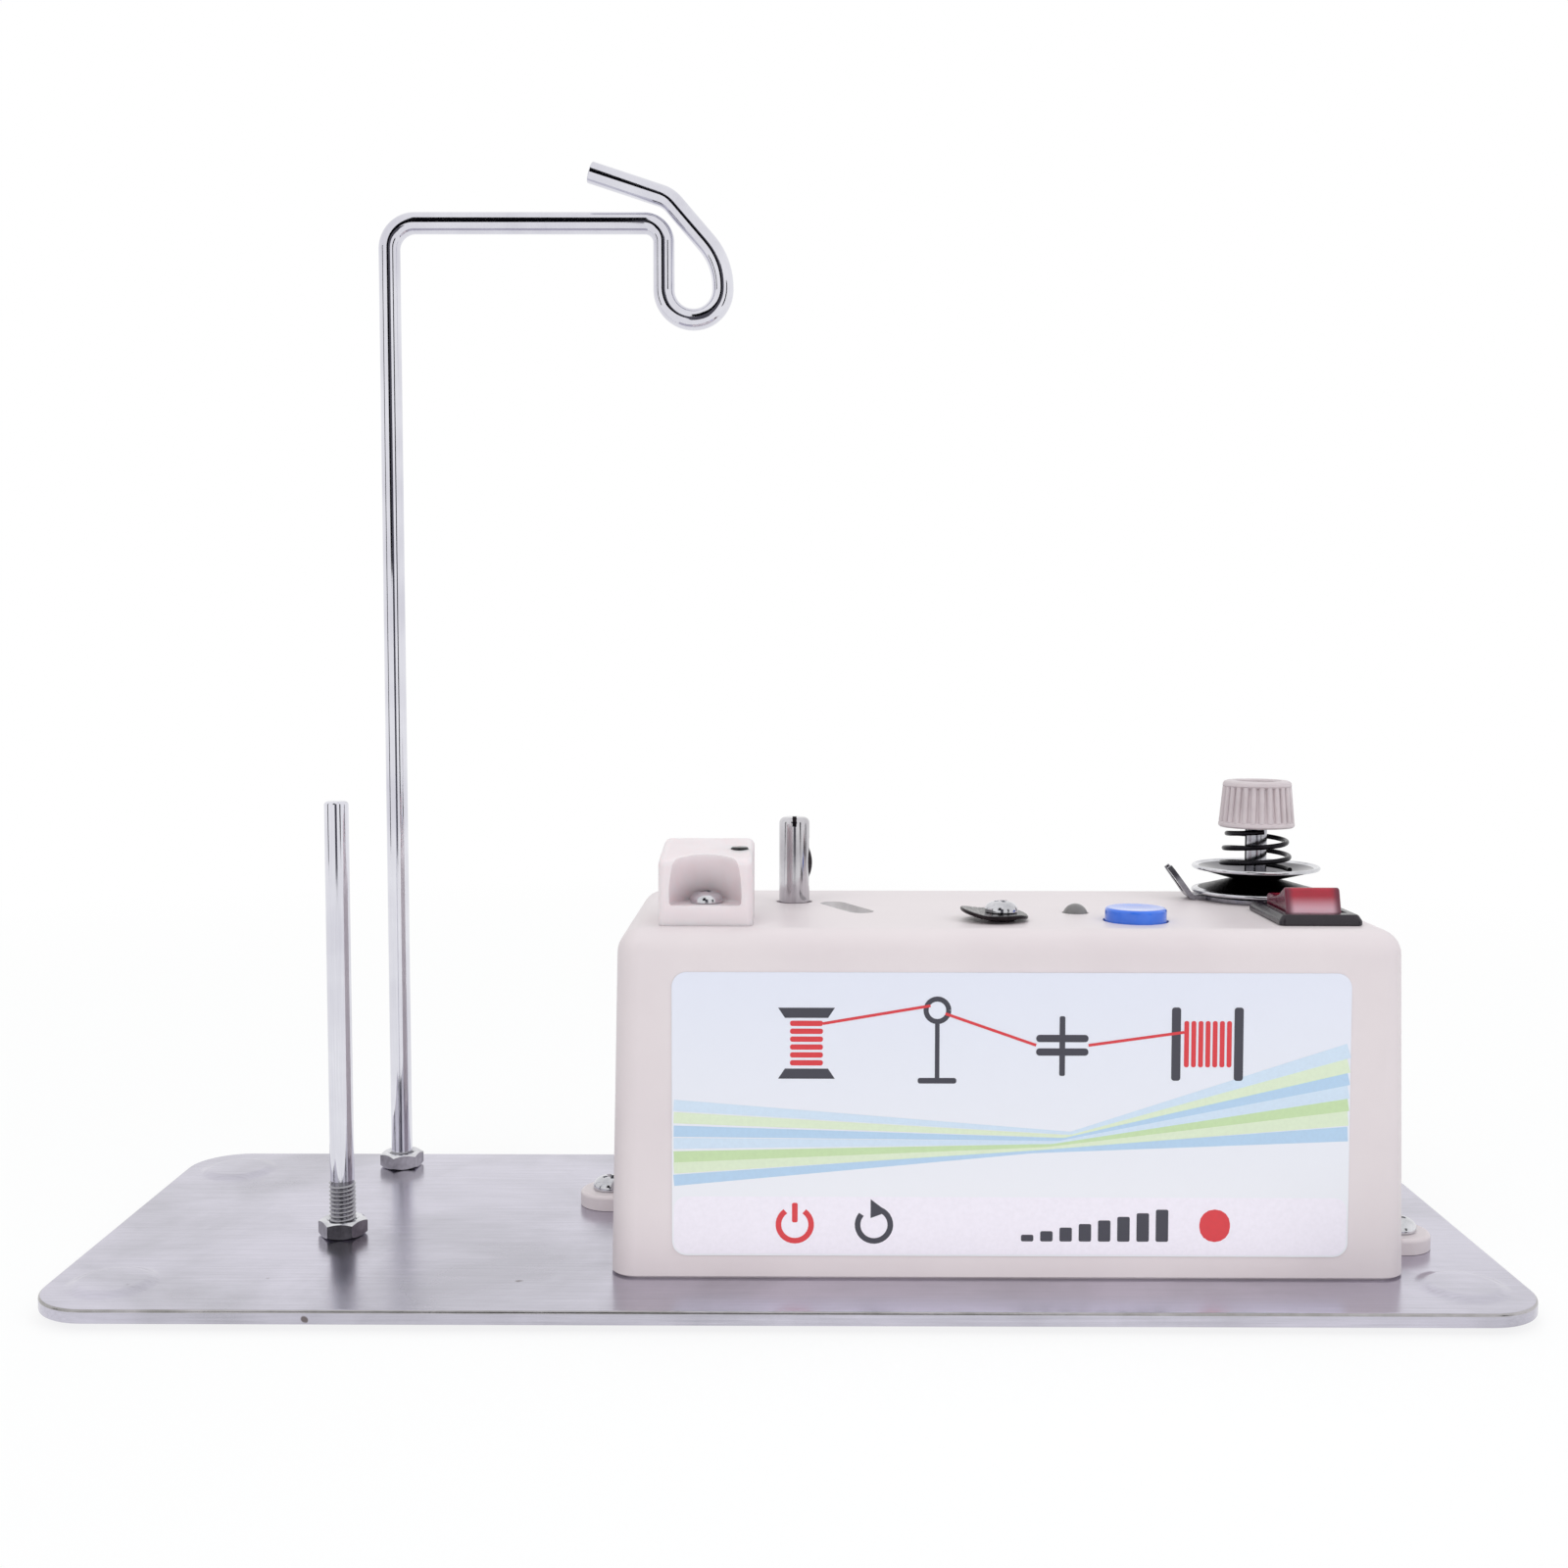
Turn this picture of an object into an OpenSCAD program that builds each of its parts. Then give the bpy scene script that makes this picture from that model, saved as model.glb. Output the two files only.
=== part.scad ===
// Electric bobbin winder on a steel base plate, with spool pin, thread stand and thread tension unit.
// Millimetres. X runs to the right, Y to the back, Z up. The origin is under the middle of the plate,
// on the surface that the feet stand on.

/* [Base plate] */
// Width of the plate
plate_w = 260; // [254:1:320]
// Depth of the plate
plate_d = 92; // [88:1:120]
// Thickness of the sheet
plate_t = 2.5; // [2:0.1:4]
// Radius of the plate's corners
plate_corner_r = 11; // [4:0.5:16]
// Diameter of the pressed bosses over the feet
boss_d = 13.7; // [12.5:0.1:18]
// Height of the pressed bosses
boss_h = 1; // [0.6:0.1:1.5]
// Distance from a boss to the plate's left or right edge
boss_inset_x = 11.5; // [10:0.5:15]
// Distance from a boss to the plate's front or back edge
boss_inset_y = 12.5; // [10:0.5:16]
// Diameter of the rubber feet
foot_d = 10; // [8:0.5:11]
// How far the feet stand proud of the plate's underside
foot_drop = 1.2; // [0.8:0.1:4]

/* [Housing] */
// Width of the housing at its foot
housing_w = 141.6; // [134:0.2:150]
// Depth of the housing at its foot
housing_d = 61; // [58:0.5:70]
// Height of the housing
housing_h = 62; // [60:0.5:80]
// Wall thickness
housing_wall = 2.5; // [1.5:0.1:3.5]
// How far each side leans in from the foot to the top
housing_draft = 1.1; // [0.2:0.1:2]
// Radius of the outer edges
housing_edge_r = 4.5; // [2.5:0.1:6]
// Centre of the housing to the right of the plate's centre
housing_x = 39.4; // [34:0.2:45]
// Radius of the screw ears
ear_r = 6; // [5:0.1:7]
// Thickness of the screw ears
ear_t = 3; // [2:0.1:5]
// Distance from the housing's side to an ear's screw
ear_reach = 4.4; // [4:0.1:6]
// Distance of the ears from the housing's middle, the left one back and the right one forward
ear_offset = 12; // [0:0.5:20]

/* [Front label] */
// Width of the label
label_w = 119.5; // [80:0.5:125]
// Height of the label
label_h = 50.5; // [30:0.5:51]
// Radius of the label's corners
label_corner_r = 2.6; // [1:0.1:6]
// Thickness of the label
label_t = 0.2; // [0.1:0.05:0.5]
// Height of the label's lower edge above the plate
label_lift = 4.2; // [3:0.1:5.5]

/* [Spool pin and thread stand] */
// Diameter of the plain part of both rods
rod_d = 4.5; // [3.5:0.1:4.8]
// Outer diameter of the rods' threaded feet
rod_thread_d = 5; // [4.9:0.1:5.5]
// Length of thread that shows above the spool pin's nut
rod_thread_l = 7.3; // [3:0.1:12]
// Width of the lock nuts across their flats
nut_flats = 8; // [7.5:0.1:10]
// Thickness of the lock nuts
nut_t = 3.2; // [3:0.1:6]
// Spool pin to the left of the plate's centre
pin_left = 84.9; // [80:0.5:100]
// Spool pin in front of the plate's centre
pin_front = 7.6; // [0:0.2:20]
// Height of the spool pin's tip above the plate
pin_h = 83; // [50:1:120]
// Thread stand to the left of the plate's centre
stand_left = 84; // [80:0.5:100]
// Distance from the thread stand to the plate's back edge
stand_inset = 9; // [7:0.5:12]
// Height of the stand's arm above the plate
stand_h = 201.3; // [150:0.5:240]
// Length of the stand's arm from upright to drop
stand_arm_l = 57.7; // [40:0.5:70]
// Bend radius at the top of the upright
stand_bend_r = 5.5; // [4:0.5:12]
// Bend radius at the end of the arm
drop_bend_r = 4; // [3.5:0.5:6]
// Distance from the arm down to the middle of the eye
eye_below = 13.7; // [13.5:0.1:18]
// Radius of the eye
eye_r = 6.2; // [6:0.1:8]
// Length of the straight rise out of the eye
rise_l = 10.5; // [10:0.5:16]
// Length of the eye's free tail
tail_l = 15.6; // [10:0.1:20]

/* [Spindle and motor] */
// Diameter of the bobbin spindle
spindle_d = 6; // [5:0.1:7]
// Height of the spindle above the housing
spindle_h = 16.8; // [14:0.2:24]
// Distance from the housing's left side to the spindle
spindle_from_left = 32.7; // [31:0.1:38]
// Distance from the housing's back to the spindle
spindle_from_back = 21.5; // [20.5:0.5:26]
// Width of the slit in the spindle's tip
slit_w = 0.8; // [0.6:0.1:1.6]
// How far the leaf spring bulges past the spindle
leaf_bulge = 0.5; // [0.4:0.1:1]
// Outer diameter of the spindle bush
bush_d = 9; // [8.5:0.5:11]
// Length of the spindle bush
bush_l = 7; // [5:0.5:9]
// Diameter of the motor
motor_d = 28; // [20:0.5:30]
// Length of the motor's can
motor_l = 36; // [20:0.5:37]
// Diameter of the motor's shaft
motor_shaft_d = 2.3; // [2:0.1:3.2]
// Thickness of the motor plate
motor_plate_t = 2; // [1.5:0.1:3]
// Length of the bosses that the motor plate hangs from
motor_boss_l = 8; // [7:0.5:9]

/* [Fill stop] */
// Width of the fill-stop block
block_w = 16.9; // [16:0.1:18]
// Depth of the block
block_d = 18; // [16:0.5:20]
// Height of the block at its front
block_front_h = 12; // [10:0.1:14]
// Height of the block at its back
block_back_h = 14.3; // [12:0.1:16]
// Distance from the housing's left side to the block's centre
block_from_left = 16.7; // [15:0.1:19]
// Distance from the housing's front to the block's front
block_from_front = 6.3; // [5.8:0.1:10]
// Height of the ledge under the block's screw
ledge_h = 3.6; // [2.5:0.1:5]
// Radius of the round pocket over the ledge
pocket_r = 6.5; // [5.5:0.1:7]
// Diameter of the eye in the block's top
eye_hole_d = 3.3; // [2.5:0.1:4]

/* [Controls] */
// Distance from the housing's left side to the cutter disc
cutter_from_left = 69.3; // [66:0.1:74]
// Distance from the housing's front to the cutter disc
cutter_from_front = 14.5; // [12:0.1:18]
// Diameter of the cutter disc
cutter_d = 12.4; // [10:0.2:14]
// Thickness of the cutter disc
cutter_t = 0.7; // [0.5:0.1:1]
// Distance from the housing's left side to the light
led_from_left = 85.9; // [80:0.1:88]
// Distance from the housing's front to the light
led_from_front = 24.6; // [22.5:0.1:30]
// Diameter of the light
led_d = 4.8; // [3:0.1:5]
// Height of the light's dome above the housing
led_h = 1.7; // [1:0.1:2.3]
// Distance from the housing's left side to the button
button_from_left = 95.3; // [92:0.1:99]
// Distance from the housing's front to the button
button_from_front = 14.7; // [12.5:0.1:18]
// Diameter of the button
button_d = 11.2; // [8:0.1:12.5]
// Height of the button above the housing
button_h = 2.4; // [1.5:0.1:5]
// Travel of the button
button_travel = 1; // [0.5:0.1:1.2]
// Distance from the housing's right side to the rocker switch's centre
rocker_from_right = 14.3; // [13.2:0.1:17]
// Rocker switch in front of the housing's middle
rocker_front = 12.2; // [10:0.1:14]
// Width of the rocker switch's bezel
bezel_w = 15; // [13:0.1:16]
// Length of the rocker switch's bezel
bezel_l = 21; // [19:0.1:22]
// Height of the rocker switch's bezel
bezel_h = 2; // [1.6:0.1:2.5]
// Thickness of the switch's frame beside the rocker
rocker_wall = 1.5; // [1.2:0.1:2]
// Tilt of the rocker to either side of level
key_tilt = 13; // [8:0.5:14]

/* [Thread tension unit] */
// Distance from the housing's right side to the tension post
tension_from_right = 16.2; // [15:0.1:20]
// Tension post behind the housing's middle
tension_back = 14; // [13:0.1:17]
// Diameter of the tension discs
disc_d = 25; // [20:0.2:26]
// Thickness of the tension discs
disc_t = 0.5; // [0.4:0.05:0.8]
// How far each disc is dished
disc_dish = 2.1; // [1:0.1:2.6]
// Thickness of the bracket under the discs
bracket_t = 1; // [0.6:0.1:1.2]
// Width of the bracket's thread-guide arm
guide_w = 5; // [4:0.5:6]
// Length of the bent-up part of the arm
guide_l = 7.6; // [5:0.1:10]
// Diameter of the post's thread
post_d = 4.5; // [4:0.1:5]
// Diameter of the post's collar
collar_d = 9; // [7:0.5:10]
// Length of the tension spring between its end turns
spring_l = 8.5; // [7:0.1:9]
// Wire diameter of the tension spring
spring_wire = 1; // [0.6:0.1:1.1]
// Radius of the spring's lower turn
spring_low_r = 6.9; // [6.4:0.1:8]
// Radius of the spring's upper turn
spring_high_r = 5.5; // [5:0.1:5.6]
// Turns of the spring
spring_turns = 2.75; // [2:0.25:3]
// Diameter of the thumb nut at its foot
thumb_low_d = 14.8; // [14.5:0.1:18]
// Diameter of the thumb nut at its top
thumb_high_d = 13.4; // [13:0.1:16]
// Height of the thumb nut
thumb_h = 9.3; // [9:0.1:14]
// Ribs on the thumb nut
thumb_ribs = 24; // [16:1:30]
// Thickness of the washer on the spring
washer_t = 1; // [0.6:0.1:1.2]

/* [Power inlet] */
// Distance from the housing's left side to the inlet
socket_from_left = 92; // [80:0.5:110]
// Height of the inlet above the plate
socket_h = 16; // [12:0.5:22]
// Diameter of the inlet's barrel
socket_d = 8; // [7:0.1:10]
// Diameter of the plug that fits the inlet
plug_d = 5.5; // [4:0.1:6]

/* [Screws] */
// Diameter of the pan-head screws that hold the housing
ear_screw_d = 3.5; // [3:0.1:4]
// Diameter of the pan-head screws on the housing's top
top_screw_d = 3; // [2.5:0.1:3.5]
// Diameter of the small screws inside
small_screw_d = 2.5; // [2:0.1:3]

/* [Hidden] */
$fn = 64;

// Clearances
fit_gap = 0.05;      // running and threaded fits, on the radius
screw_gap = 0.25;    // a screw in its plain hole, on the radius
move_gap = 0.3;      // faces that pass each other
seat_gap = 0.02;     // faces that lie on each other on different bodies
glue_t = 0.03;       // adhesive under the label
eps = 0.5;           // how far a cut runs past a face

// Levels
plate_z = foot_drop;
plate_top = plate_z + plate_t;
top_z = plate_top + housing_h;
under_z = top_z - housing_wall;

// Housing sides and places on its top
left_x = housing_x - housing_w / 2;
right_x = housing_x + housing_w / 2;
front_y = -housing_d / 2;
back_y = housing_d / 2;
lean = atan(housing_draft / (housing_h - housing_edge_r));
spindle_x = left_x + spindle_from_left;
spindle_y = back_y - spindle_from_back;
block_x = left_x + block_from_left;
block_y = front_y + block_from_front;
cutter_x = left_x + cutter_from_left;
cutter_y = front_y + cutter_from_front;
cutter_screw_x = cutter_x + 1.3;
led_x = left_x + led_from_left;
led_y = front_y + led_from_front;
button_x = left_x + button_from_left;
button_y = front_y + button_from_front;
rocker_x = right_x - rocker_from_right;
rocker_y = -rocker_front;
tension_x = right_x - tension_from_right;
tension_y = tension_back;
socket_x = left_x + socket_from_left;
socket_z = plate_top + socket_h;

// Places of the ears' screws: left one back, right one forward
ear_places = [[left_x - ear_reach, ear_offset, 180], [right_x + ear_reach, -ear_offset, 0]];

// Places of the bosses and feet
boss_x = plate_w / 2 - boss_inset_x;
boss_y = plate_d / 2 - boss_inset_y;
boss_places = [for (sx = [-1, 1], sy = [-1, 1]) [sx * boss_x, sy * boss_y]];

// Places of the rods
pin_place = [-pin_left, -pin_front];
stand_place = [-stand_left, plate_d / 2 - stand_inset];
rod_places = [pin_place, stand_place];

// Only a hair of thread shows above the stand's nut
stand_thread_l = 0.3;

// Stand: each step is a straight length, then a bend angle and a bend radius. A positive bend turns right.
eye_open_r = 14;
eye_open_below = 13.2;
eye_open_angle = 41;
tail_bend_r = 6;
tail_bend_angle = 31;
stand_steps = [
    [stand_h - stand_bend_r - nut_t - stand_thread_l, 90, stand_bend_r],
    [stand_arm_l - stand_bend_r - drop_bend_r, 90, drop_bend_r],
    [eye_below - drop_bend_r, -180, eye_r],
    [eye_below - eye_open_below, -eye_open_angle, eye_open_r],
    [rise_l, -tail_bend_angle, tail_bend_r],
    [tail_l, 0, 0]
];

// Screw proportions, as shares of the thread that a standard pan head has
function head_d(d) = 2 * d;
function head_h(d) = 0.7 * d;

// Fill stop: the block swings about its screw. The pocket leans forward, so it is shallow at its top.
pocket_set = 2.5;
pocket_lean = 32;
pivot_y = block_y + pocket_set + 2.5;
boss_wall = 2;
boss_l = 8;
block_edge_r = 1.5;
eye_inset_x = 2.5;
eye_back = 7.4;
eye_deep = 4;
eye_top = block_front_h + 1
    + (block_back_h - block_front_h - 1) * (eye_back - block_d / 3) / (block_d - block_d / 3);
sensor_proud = 0.35;

// Motor stack, from the housing's top down
motor_plate_z = under_z - motor_boss_l - motor_plate_t;
motor_plate_w = 40;
motor_plate_d = 32;
motor_hole_x = 16;
motor_hole_y = 12;
motor_screw_pitch = 16;
motor_nose_d = 8;
motor_cap_d = motor_d - 4;
motor_cap_l = 4;
terminal_l = 4;
spindle_z = motor_plate_z + motor_plate_t + 1.5;
shaft_in_can = 10;
shaft_in_spindle = 8;
shank_d = spindle_d + 0.4;
shoulder_z = top_z - 0.3;
slit_deep = 1.7;
slit_past = 0.6;
groove_w = 1.6;
groove_deep = 1.6;
groove_z = top_z + 3;
groove_l = spindle_h - slit_deep - 5.5;
spindle_crown_r = 1.2;
bush_seat = 1;

// Self-tapping screws in the housing's bosses: a plain shank in a slightly wider hole
tap_d = small_screw_d - 0.3;
pilot_d = tap_d + 2 * fit_gap;

// Thread cutter: its disc stands on a short hub
cutter_stand = 0.8;

// Rocker switch: the rocker turns about a pin in the frame
key_pivot_z = top_z + bezel_h - 3.2;
key_end_gap = 0.3;
bezel_end_wall = 3.1;
key_well_l = bezel_l - 2 * bezel_end_wall;
key_reach = key_well_l / 2 - key_end_gap;
key_lip = 5;
key_valley = 1.4;
key_below = 3;
key_pin_r = 0.6;
rocker_body_d = 13;
rocker_lip = 0.5;
rocker_side_lip = 0.6;
rocker_cut_w = bezel_w - 2 * rocker_side_lip;
rocker_cut_l = bezel_l - 2 * rocker_lip;
rocker_body_w = rocker_cut_w - 2 * fit_gap;
rocker_body_l = rocker_cut_l - 2 * fit_gap;
key_well_w = rocker_body_w - 2 * rocker_wall;
key_w = key_well_w - 2 * move_gap;
key_pin_l = key_well_w + 2 * (rocker_wall - 0.6);

// Control board under the button and the light
board_t = 1.6;
board_drop = 15.5;
board_z = under_z - board_drop - board_t;
board_margin = 3;
board_past_led = 7.5;
board_past_button = 5;
board_to_rocker = 4.8;
board_boss_r = small_screw_d / 2 + boss_wall;
board_left = led_x - board_past_led;
board_right = rocker_x - rocker_cut_w / 2 - board_boss_r - board_to_rocker;
board_front = button_y - board_past_button;
board_back = led_y + board_past_button;
board_holes = [for (x = [board_left, board_right], y = [board_front, board_back]) [x, y]];
button_flange = 1.5;
flange_t = 1.5;
stem_d = 5;
switch_w = 12;
switch_h = 7.3;
led_flange = 0.5;
led_flange_t = 1;
led_leg_d = 0.5;
led_leg_pitch = 2.54;

// Tension unit, from the housing's top up
collar_z = top_z + bracket_t;
disc_flat_r = collar_d / 2;
disc_gap = 0.05;
lower_rim_z = collar_z + disc_t;
lower_flat_z = lower_rim_z + disc_dish;
upper_flat_z = lower_flat_z + disc_t + disc_gap;
spring_seat_z = upper_flat_z + disc_t
    + disc_dish * (spring_low_r - disc_flat_r) / (disc_d / 2 - disc_flat_r);
spring_z = spring_seat_z + spring_wire / 2 + disc_gap;
washer_z = spring_z + spring_l + spring_wire / 2 + seat_gap;
thumb_recess = 1.3;
thumb_z = washer_z + washer_t + seat_gap - thumb_recess;
thumb_skirt = 1.1;
thumb_dish_d = 9;
thumb_dish_deep = 2.5;
post_top = thumb_z + thumb_h - thumb_dish_deep - 0.2;
post_slot = 1.1;
post_nut_t = 3.2;
guide_angle = 54;
guide_hole_d = 2;
bracket_r = disc_d / 2 - 1.7;
bracket_reach = disc_d / 2 + 0.8;

// Power inlet
socket_flange_d = socket_d + 3;
socket_flange_t = 1.5;
socket_l = 13;
socket_pad_r = socket_flange_d / 2 + 1;
socket_pad_t = 0.3;
socket_pad_in = housing_draft * (socket_h + socket_pad_r) / housing_h + socket_pad_t;
socket_pin_d = 2;
socket_face = back_y + socket_pad_t;

// Points of the spring's wire: rings of six points along a narrowing helix
ring_sides = 6;
rings_a_turn = 8;
spring_rings = spring_turns * rings_a_turn;
function spring_r(t) = spring_low_r + (spring_high_r - spring_low_r) * t;
function spring_point(i) = let (t = i / spring_rings, a = 360 * i / rings_a_turn)
    [spring_r(t) * cos(a), spring_r(t) * sin(a), spring_z + spring_l * t];
function ring_point(i, k) = let (a = 360 * i / rings_a_turn, b = 360 * k / ring_sides)
    spring_point(i) + spring_wire / 2 * [cos(b) * cos(a), cos(b) * sin(a), sin(b)];
spring_gap = min([for (i = [0 : spring_rings - rings_a_turn])
    norm(spring_point(i + rings_a_turn) - spring_point(i))]) - spring_wire;

// A rectangle with round corners, centred
module round_rect(w, d, r) {
    square([w - 2 * r, d], center = true);
    square([w, d - 2 * r], center = true);
    for (sx = [-1, 1], sy = [-1, 1])
        translate([sx * (w / 2 - r), sy * (d / 2 - r)])
            circle(r);
}

// A pan-head screw standing on z = 0 with its shank below
module pan_screw(d, shank) {
    difference() {
        union() {
            translate([0, 0, -shank])
                cylinder(d = d, h = shank + head_h(d) / 2);
            intersection() {
                cylinder(d = head_d(d), h = head_h(d));
                translate([0, 0, head_h(d) - 1.6 * d])
                    sphere(1.6 * d);
            }
        }
        for (a = [0, 90])
            rotate(a)
                translate([0, 0, head_h(d)])
                    cube([1.1 * d, 0.22 * d, 0.7 * d], center = true);
    }
}

// A hexagon nut standing on z = 0
module hex_nut(flats, t, bore_r) {
    difference() {
        cylinder(d = flats / cos(30), h = t, $fn = 6);
        translate([0, 0, -eps])
            cylinder(r = bore_r, h = t + 2 * eps);
    }
}

// A plain washer standing on z = 0
module ring(outer_r, inner_r, t) {
    difference() {
        cylinder(r = outer_r, h = t);
        translate([0, 0, -eps])
            cylinder(r = inner_r, h = t + 2 * eps);
    }
}

// One bend of a rod from the origin along +Z, to +X or, for a negative angle, to -X.
// Its children start at its end, where a thin collar makes the two lengths one solid.
module bend(angle, bend_r, rod_r) {
    side = sign(angle);
    collar_l = 0.2;
    collar_rise = 0.01;
    translate([side * bend_r, 0, 0])
        rotate([90, 0, 0])
            rotate(side > 0 ? 180 - angle : 0)
                rotate_extrude(angle = abs(angle))
                    translate([bend_r, 0])
                        circle(rod_r);
    translate([side * bend_r * (1 - cos(angle)), 0, bend_r * sin(abs(angle))])
        rotate([0, angle, 0]) {
            translate([0, 0, -collar_l / 2])
                cylinder(r = rod_r + collar_rise, h = collar_l);
            children();
        }
}

// A rod that follows steps of straight lengths and bends
module bent_rod(steps, rod_r, k = 0) {
    if (k < len(steps)) {
        run = steps[k][0];
        angle = steps[k][1];
        if (run > 0)
            cylinder(r = rod_r, h = run);
        translate([0, 0, run])
            if (angle != 0)
                bend(angle, steps[k][2], rod_r)
                    bent_rod(steps, rod_r, k + 1);
    }
}

// The threaded foot of a rod, from the plate's underside
module rod_foot(shown_l) {
    translate([0, 0, plate_z])
        cylinder(d = rod_thread_d, h = plate_t + nut_t + shown_l);
}

// The housing's form, drawn in by inset on every side, from its foot to below its top
module housing_form(inset, edge_r, foot_z) {
    w = housing_w / 2 - inset - edge_r;
    d = housing_d / 2 - inset - edge_r;
    h = top_z - inset - edge_r;
    hull() {
        for (sx = [-1, 1], sy = [-1, 1]) {
            translate([housing_x + sx * w, sy * d, foot_z])
                cylinder(r = edge_r, h = 0.01, $fn = 32);
            translate([housing_x + sx * (w - housing_draft), sy * (d - housing_draft), h])
                sphere(edge_r, $fn = 32);
        }
        translate([housing_x - w + housing_draft, -d + housing_draft, h])
            cube([2 * (w - housing_draft), 2 * (d - housing_draft), edge_r]);
    }
}

// A boss that hangs from the housing's top
module top_boss(x, y, r, l) {
    translate([x, y, under_z - l])
        cylinder(r = r, h = l + housing_wall / 2);
}

// A screw's blind pilot hole in such a boss, from below
module pilot(x, y, d, l) {
    translate([x, y, under_z - l - eps])
        cylinder(d = d, h = l + eps);
}

module base_plate() {
    color("#b9bcc4")
    difference() {
        union() {
            translate([0, 0, plate_z])
                linear_extrude(plate_t)
                    round_rect(plate_w, plate_d, plate_corner_r);
            for (p = boss_places)
                translate([p.x, p.y, plate_top - plate_t / 2])
                    cylinder(d = boss_d, h = boss_h + plate_t / 2);
        }
        for (p = boss_places)
            translate([p.x, p.y, plate_z - eps])
                cylinder(d = foot_d, h = boss_h + eps);
        for (p = rod_places)
            translate([p.x, p.y, plate_z - eps])
                cylinder(r = rod_thread_d / 2 + fit_gap, h = plate_t + 2 * eps);
        for (p = ear_places)
            translate([p.x, p.y, plate_z - eps])
                cylinder(r = ear_screw_d / 2 + fit_gap, h = plate_t + 2 * eps);
    }
}

module rubber_feet() {
    color("#2a2a2c")
    for (p = boss_places)
        translate([p.x, p.y, 0])
            cylinder(d = foot_d - 2 * fit_gap, h = foot_drop + boss_h);
}

module housing() {
    color("#e6dadc")
    difference() {
        union() {
            difference() {
                housing_form(0, housing_edge_r, plate_top);
                housing_form(housing_wall, housing_edge_r - housing_wall / 2, plate_top - eps);
            }
            for (p = ear_places)
                translate([p.x, p.y, plate_top])
                    rotate(p.z)
                        linear_extrude(ear_t) {
                            circle(ear_r);
                            translate([-ear_reach - housing_wall / 2, -ear_r])
                                square([ear_reach + housing_wall / 2, 2 * ear_r]);
                        }
            top_boss(spindle_x, spindle_y, bush_d / 2 + boss_wall, bush_l - bush_seat);
            top_boss(block_x, pivot_y, top_screw_d / 2 + boss_wall, boss_l);
            top_boss(cutter_screw_x, cutter_y, top_screw_d / 2 + boss_wall, boss_l);
            for (sx = [-1, 1], sy = [-1, 1])
                top_boss(spindle_x + sx * motor_hole_x, spindle_y + sy * motor_hole_y,
                    small_screw_d / 2 + boss_wall, motor_boss_l);
            for (p = board_holes)
                top_boss(p.x, p.y, board_boss_r, board_drop);
            translate([socket_x, back_y - housing_wall - socket_pad_in, socket_z])
                rotate([-90, 0, 0])
                    cylinder(r = socket_pad_r, h = socket_pad_in + housing_wall + socket_pad_t);
        }
        translate([spindle_x, spindle_y, under_z - bush_l])
            cylinder(r = bush_d / 2 + fit_gap, h = bush_l + bush_seat);
        translate([spindle_x, spindle_y, under_z])
            cylinder(r = shank_d / 2 + move_gap, h = housing_wall + eps);
        for (p = [[block_x, pivot_y], [cutter_screw_x, cutter_y]])
            translate([p.x, p.y, under_z - boss_l - eps])
                cylinder(r = top_screw_d / 2 + fit_gap, h = boss_l + housing_wall + 2 * eps);
        for (sx = [-1, 1], sy = [-1, 1])
            pilot(spindle_x + sx * motor_hole_x, spindle_y + sy * motor_hole_y, pilot_d, motor_boss_l);
        for (p = board_holes)
            pilot(p.x, p.y, pilot_d, board_drop);
        witness_slot();
        translate([led_x, led_y, under_z - eps])
            cylinder(r = led_d / 2 + fit_gap, h = housing_wall + 2 * eps);
        translate([button_x, button_y, under_z - eps])
            cylinder(r = button_d / 2 + move_gap, h = housing_wall + 2 * eps);
        translate([rocker_x, rocker_y, top_z])
            cube([rocker_cut_w, rocker_cut_l, 4 * housing_wall], center = true);
        translate([tension_x, tension_y, under_z - eps])
            cylinder(r = post_d / 2 + fit_gap, h = housing_wall + 2 * eps);
        translate([socket_x, back_y - 3 * housing_wall, socket_z])
            rotate([-90, 0, 0])
                cylinder(r = socket_d / 2 + fit_gap, h = 4 * housing_wall);
        for (p = ear_places)
            translate([p.x, p.y, plate_top - eps])
                cylinder(r = ear_screw_d / 2 + screw_gap, h = ear_t + 2 * eps);
    }
}

// The shallow oblong pocket beside the spindle
module witness_slot() {
    slot_start = [7.6, -3.0];
    slot_run = [5.0, -11.0];
    slot_w = 5.0;
    slot_deep = 1.5;
    translate([spindle_x + slot_start.x, spindle_y + slot_start.y, top_z - slot_deep])
        rotate(atan2(slot_run.y, slot_run.x))
            linear_extrude(slot_deep + eps) {
                translate([0, -slot_w / 2])
                    square([norm(slot_run), slot_w]);
                circle(d = slot_w);
                translate([norm(slot_run), 0])
                    circle(d = slot_w);
            }
}

module front_label() {
    color("#e1dfea")
    translate([housing_x, front_y, plate_top])
        rotate([90 - lean, 0, 0])
            translate([0, label_lift + label_h / 2, glue_t])
                linear_extrude(label_t)
                    round_rect(label_w, label_h, label_corner_r);
}

module housing_screws() {
    color("#c9cacd")
    for (p = ear_places)
        translate([p.x, p.y, plate_top + ear_t])
            pan_screw(ear_screw_d, ear_t + plate_t);
}

module spool_pin() {
    color("#c4c6cc")
    translate([pin_place.x, pin_place.y, 0]) {
        rod_foot(rod_thread_l);
        translate([0, 0, plate_top])
            cylinder(d = rod_d, h = pin_h - rod_d / 4);
        translate([0, 0, plate_top + pin_h - rod_d / 4])
            cylinder(d1 = rod_d, d2 = rod_d * 0.8, h = rod_d / 4);
    }
}

module thread_stand() {
    color("#c4c6cc")
    translate([stand_place.x, stand_place.y, 0]) {
        rod_foot(stand_thread_l);
        translate([0, 0, plate_top + nut_t + stand_thread_l])
            bent_rod(stand_steps, rod_d / 2);
    }
}

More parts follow.
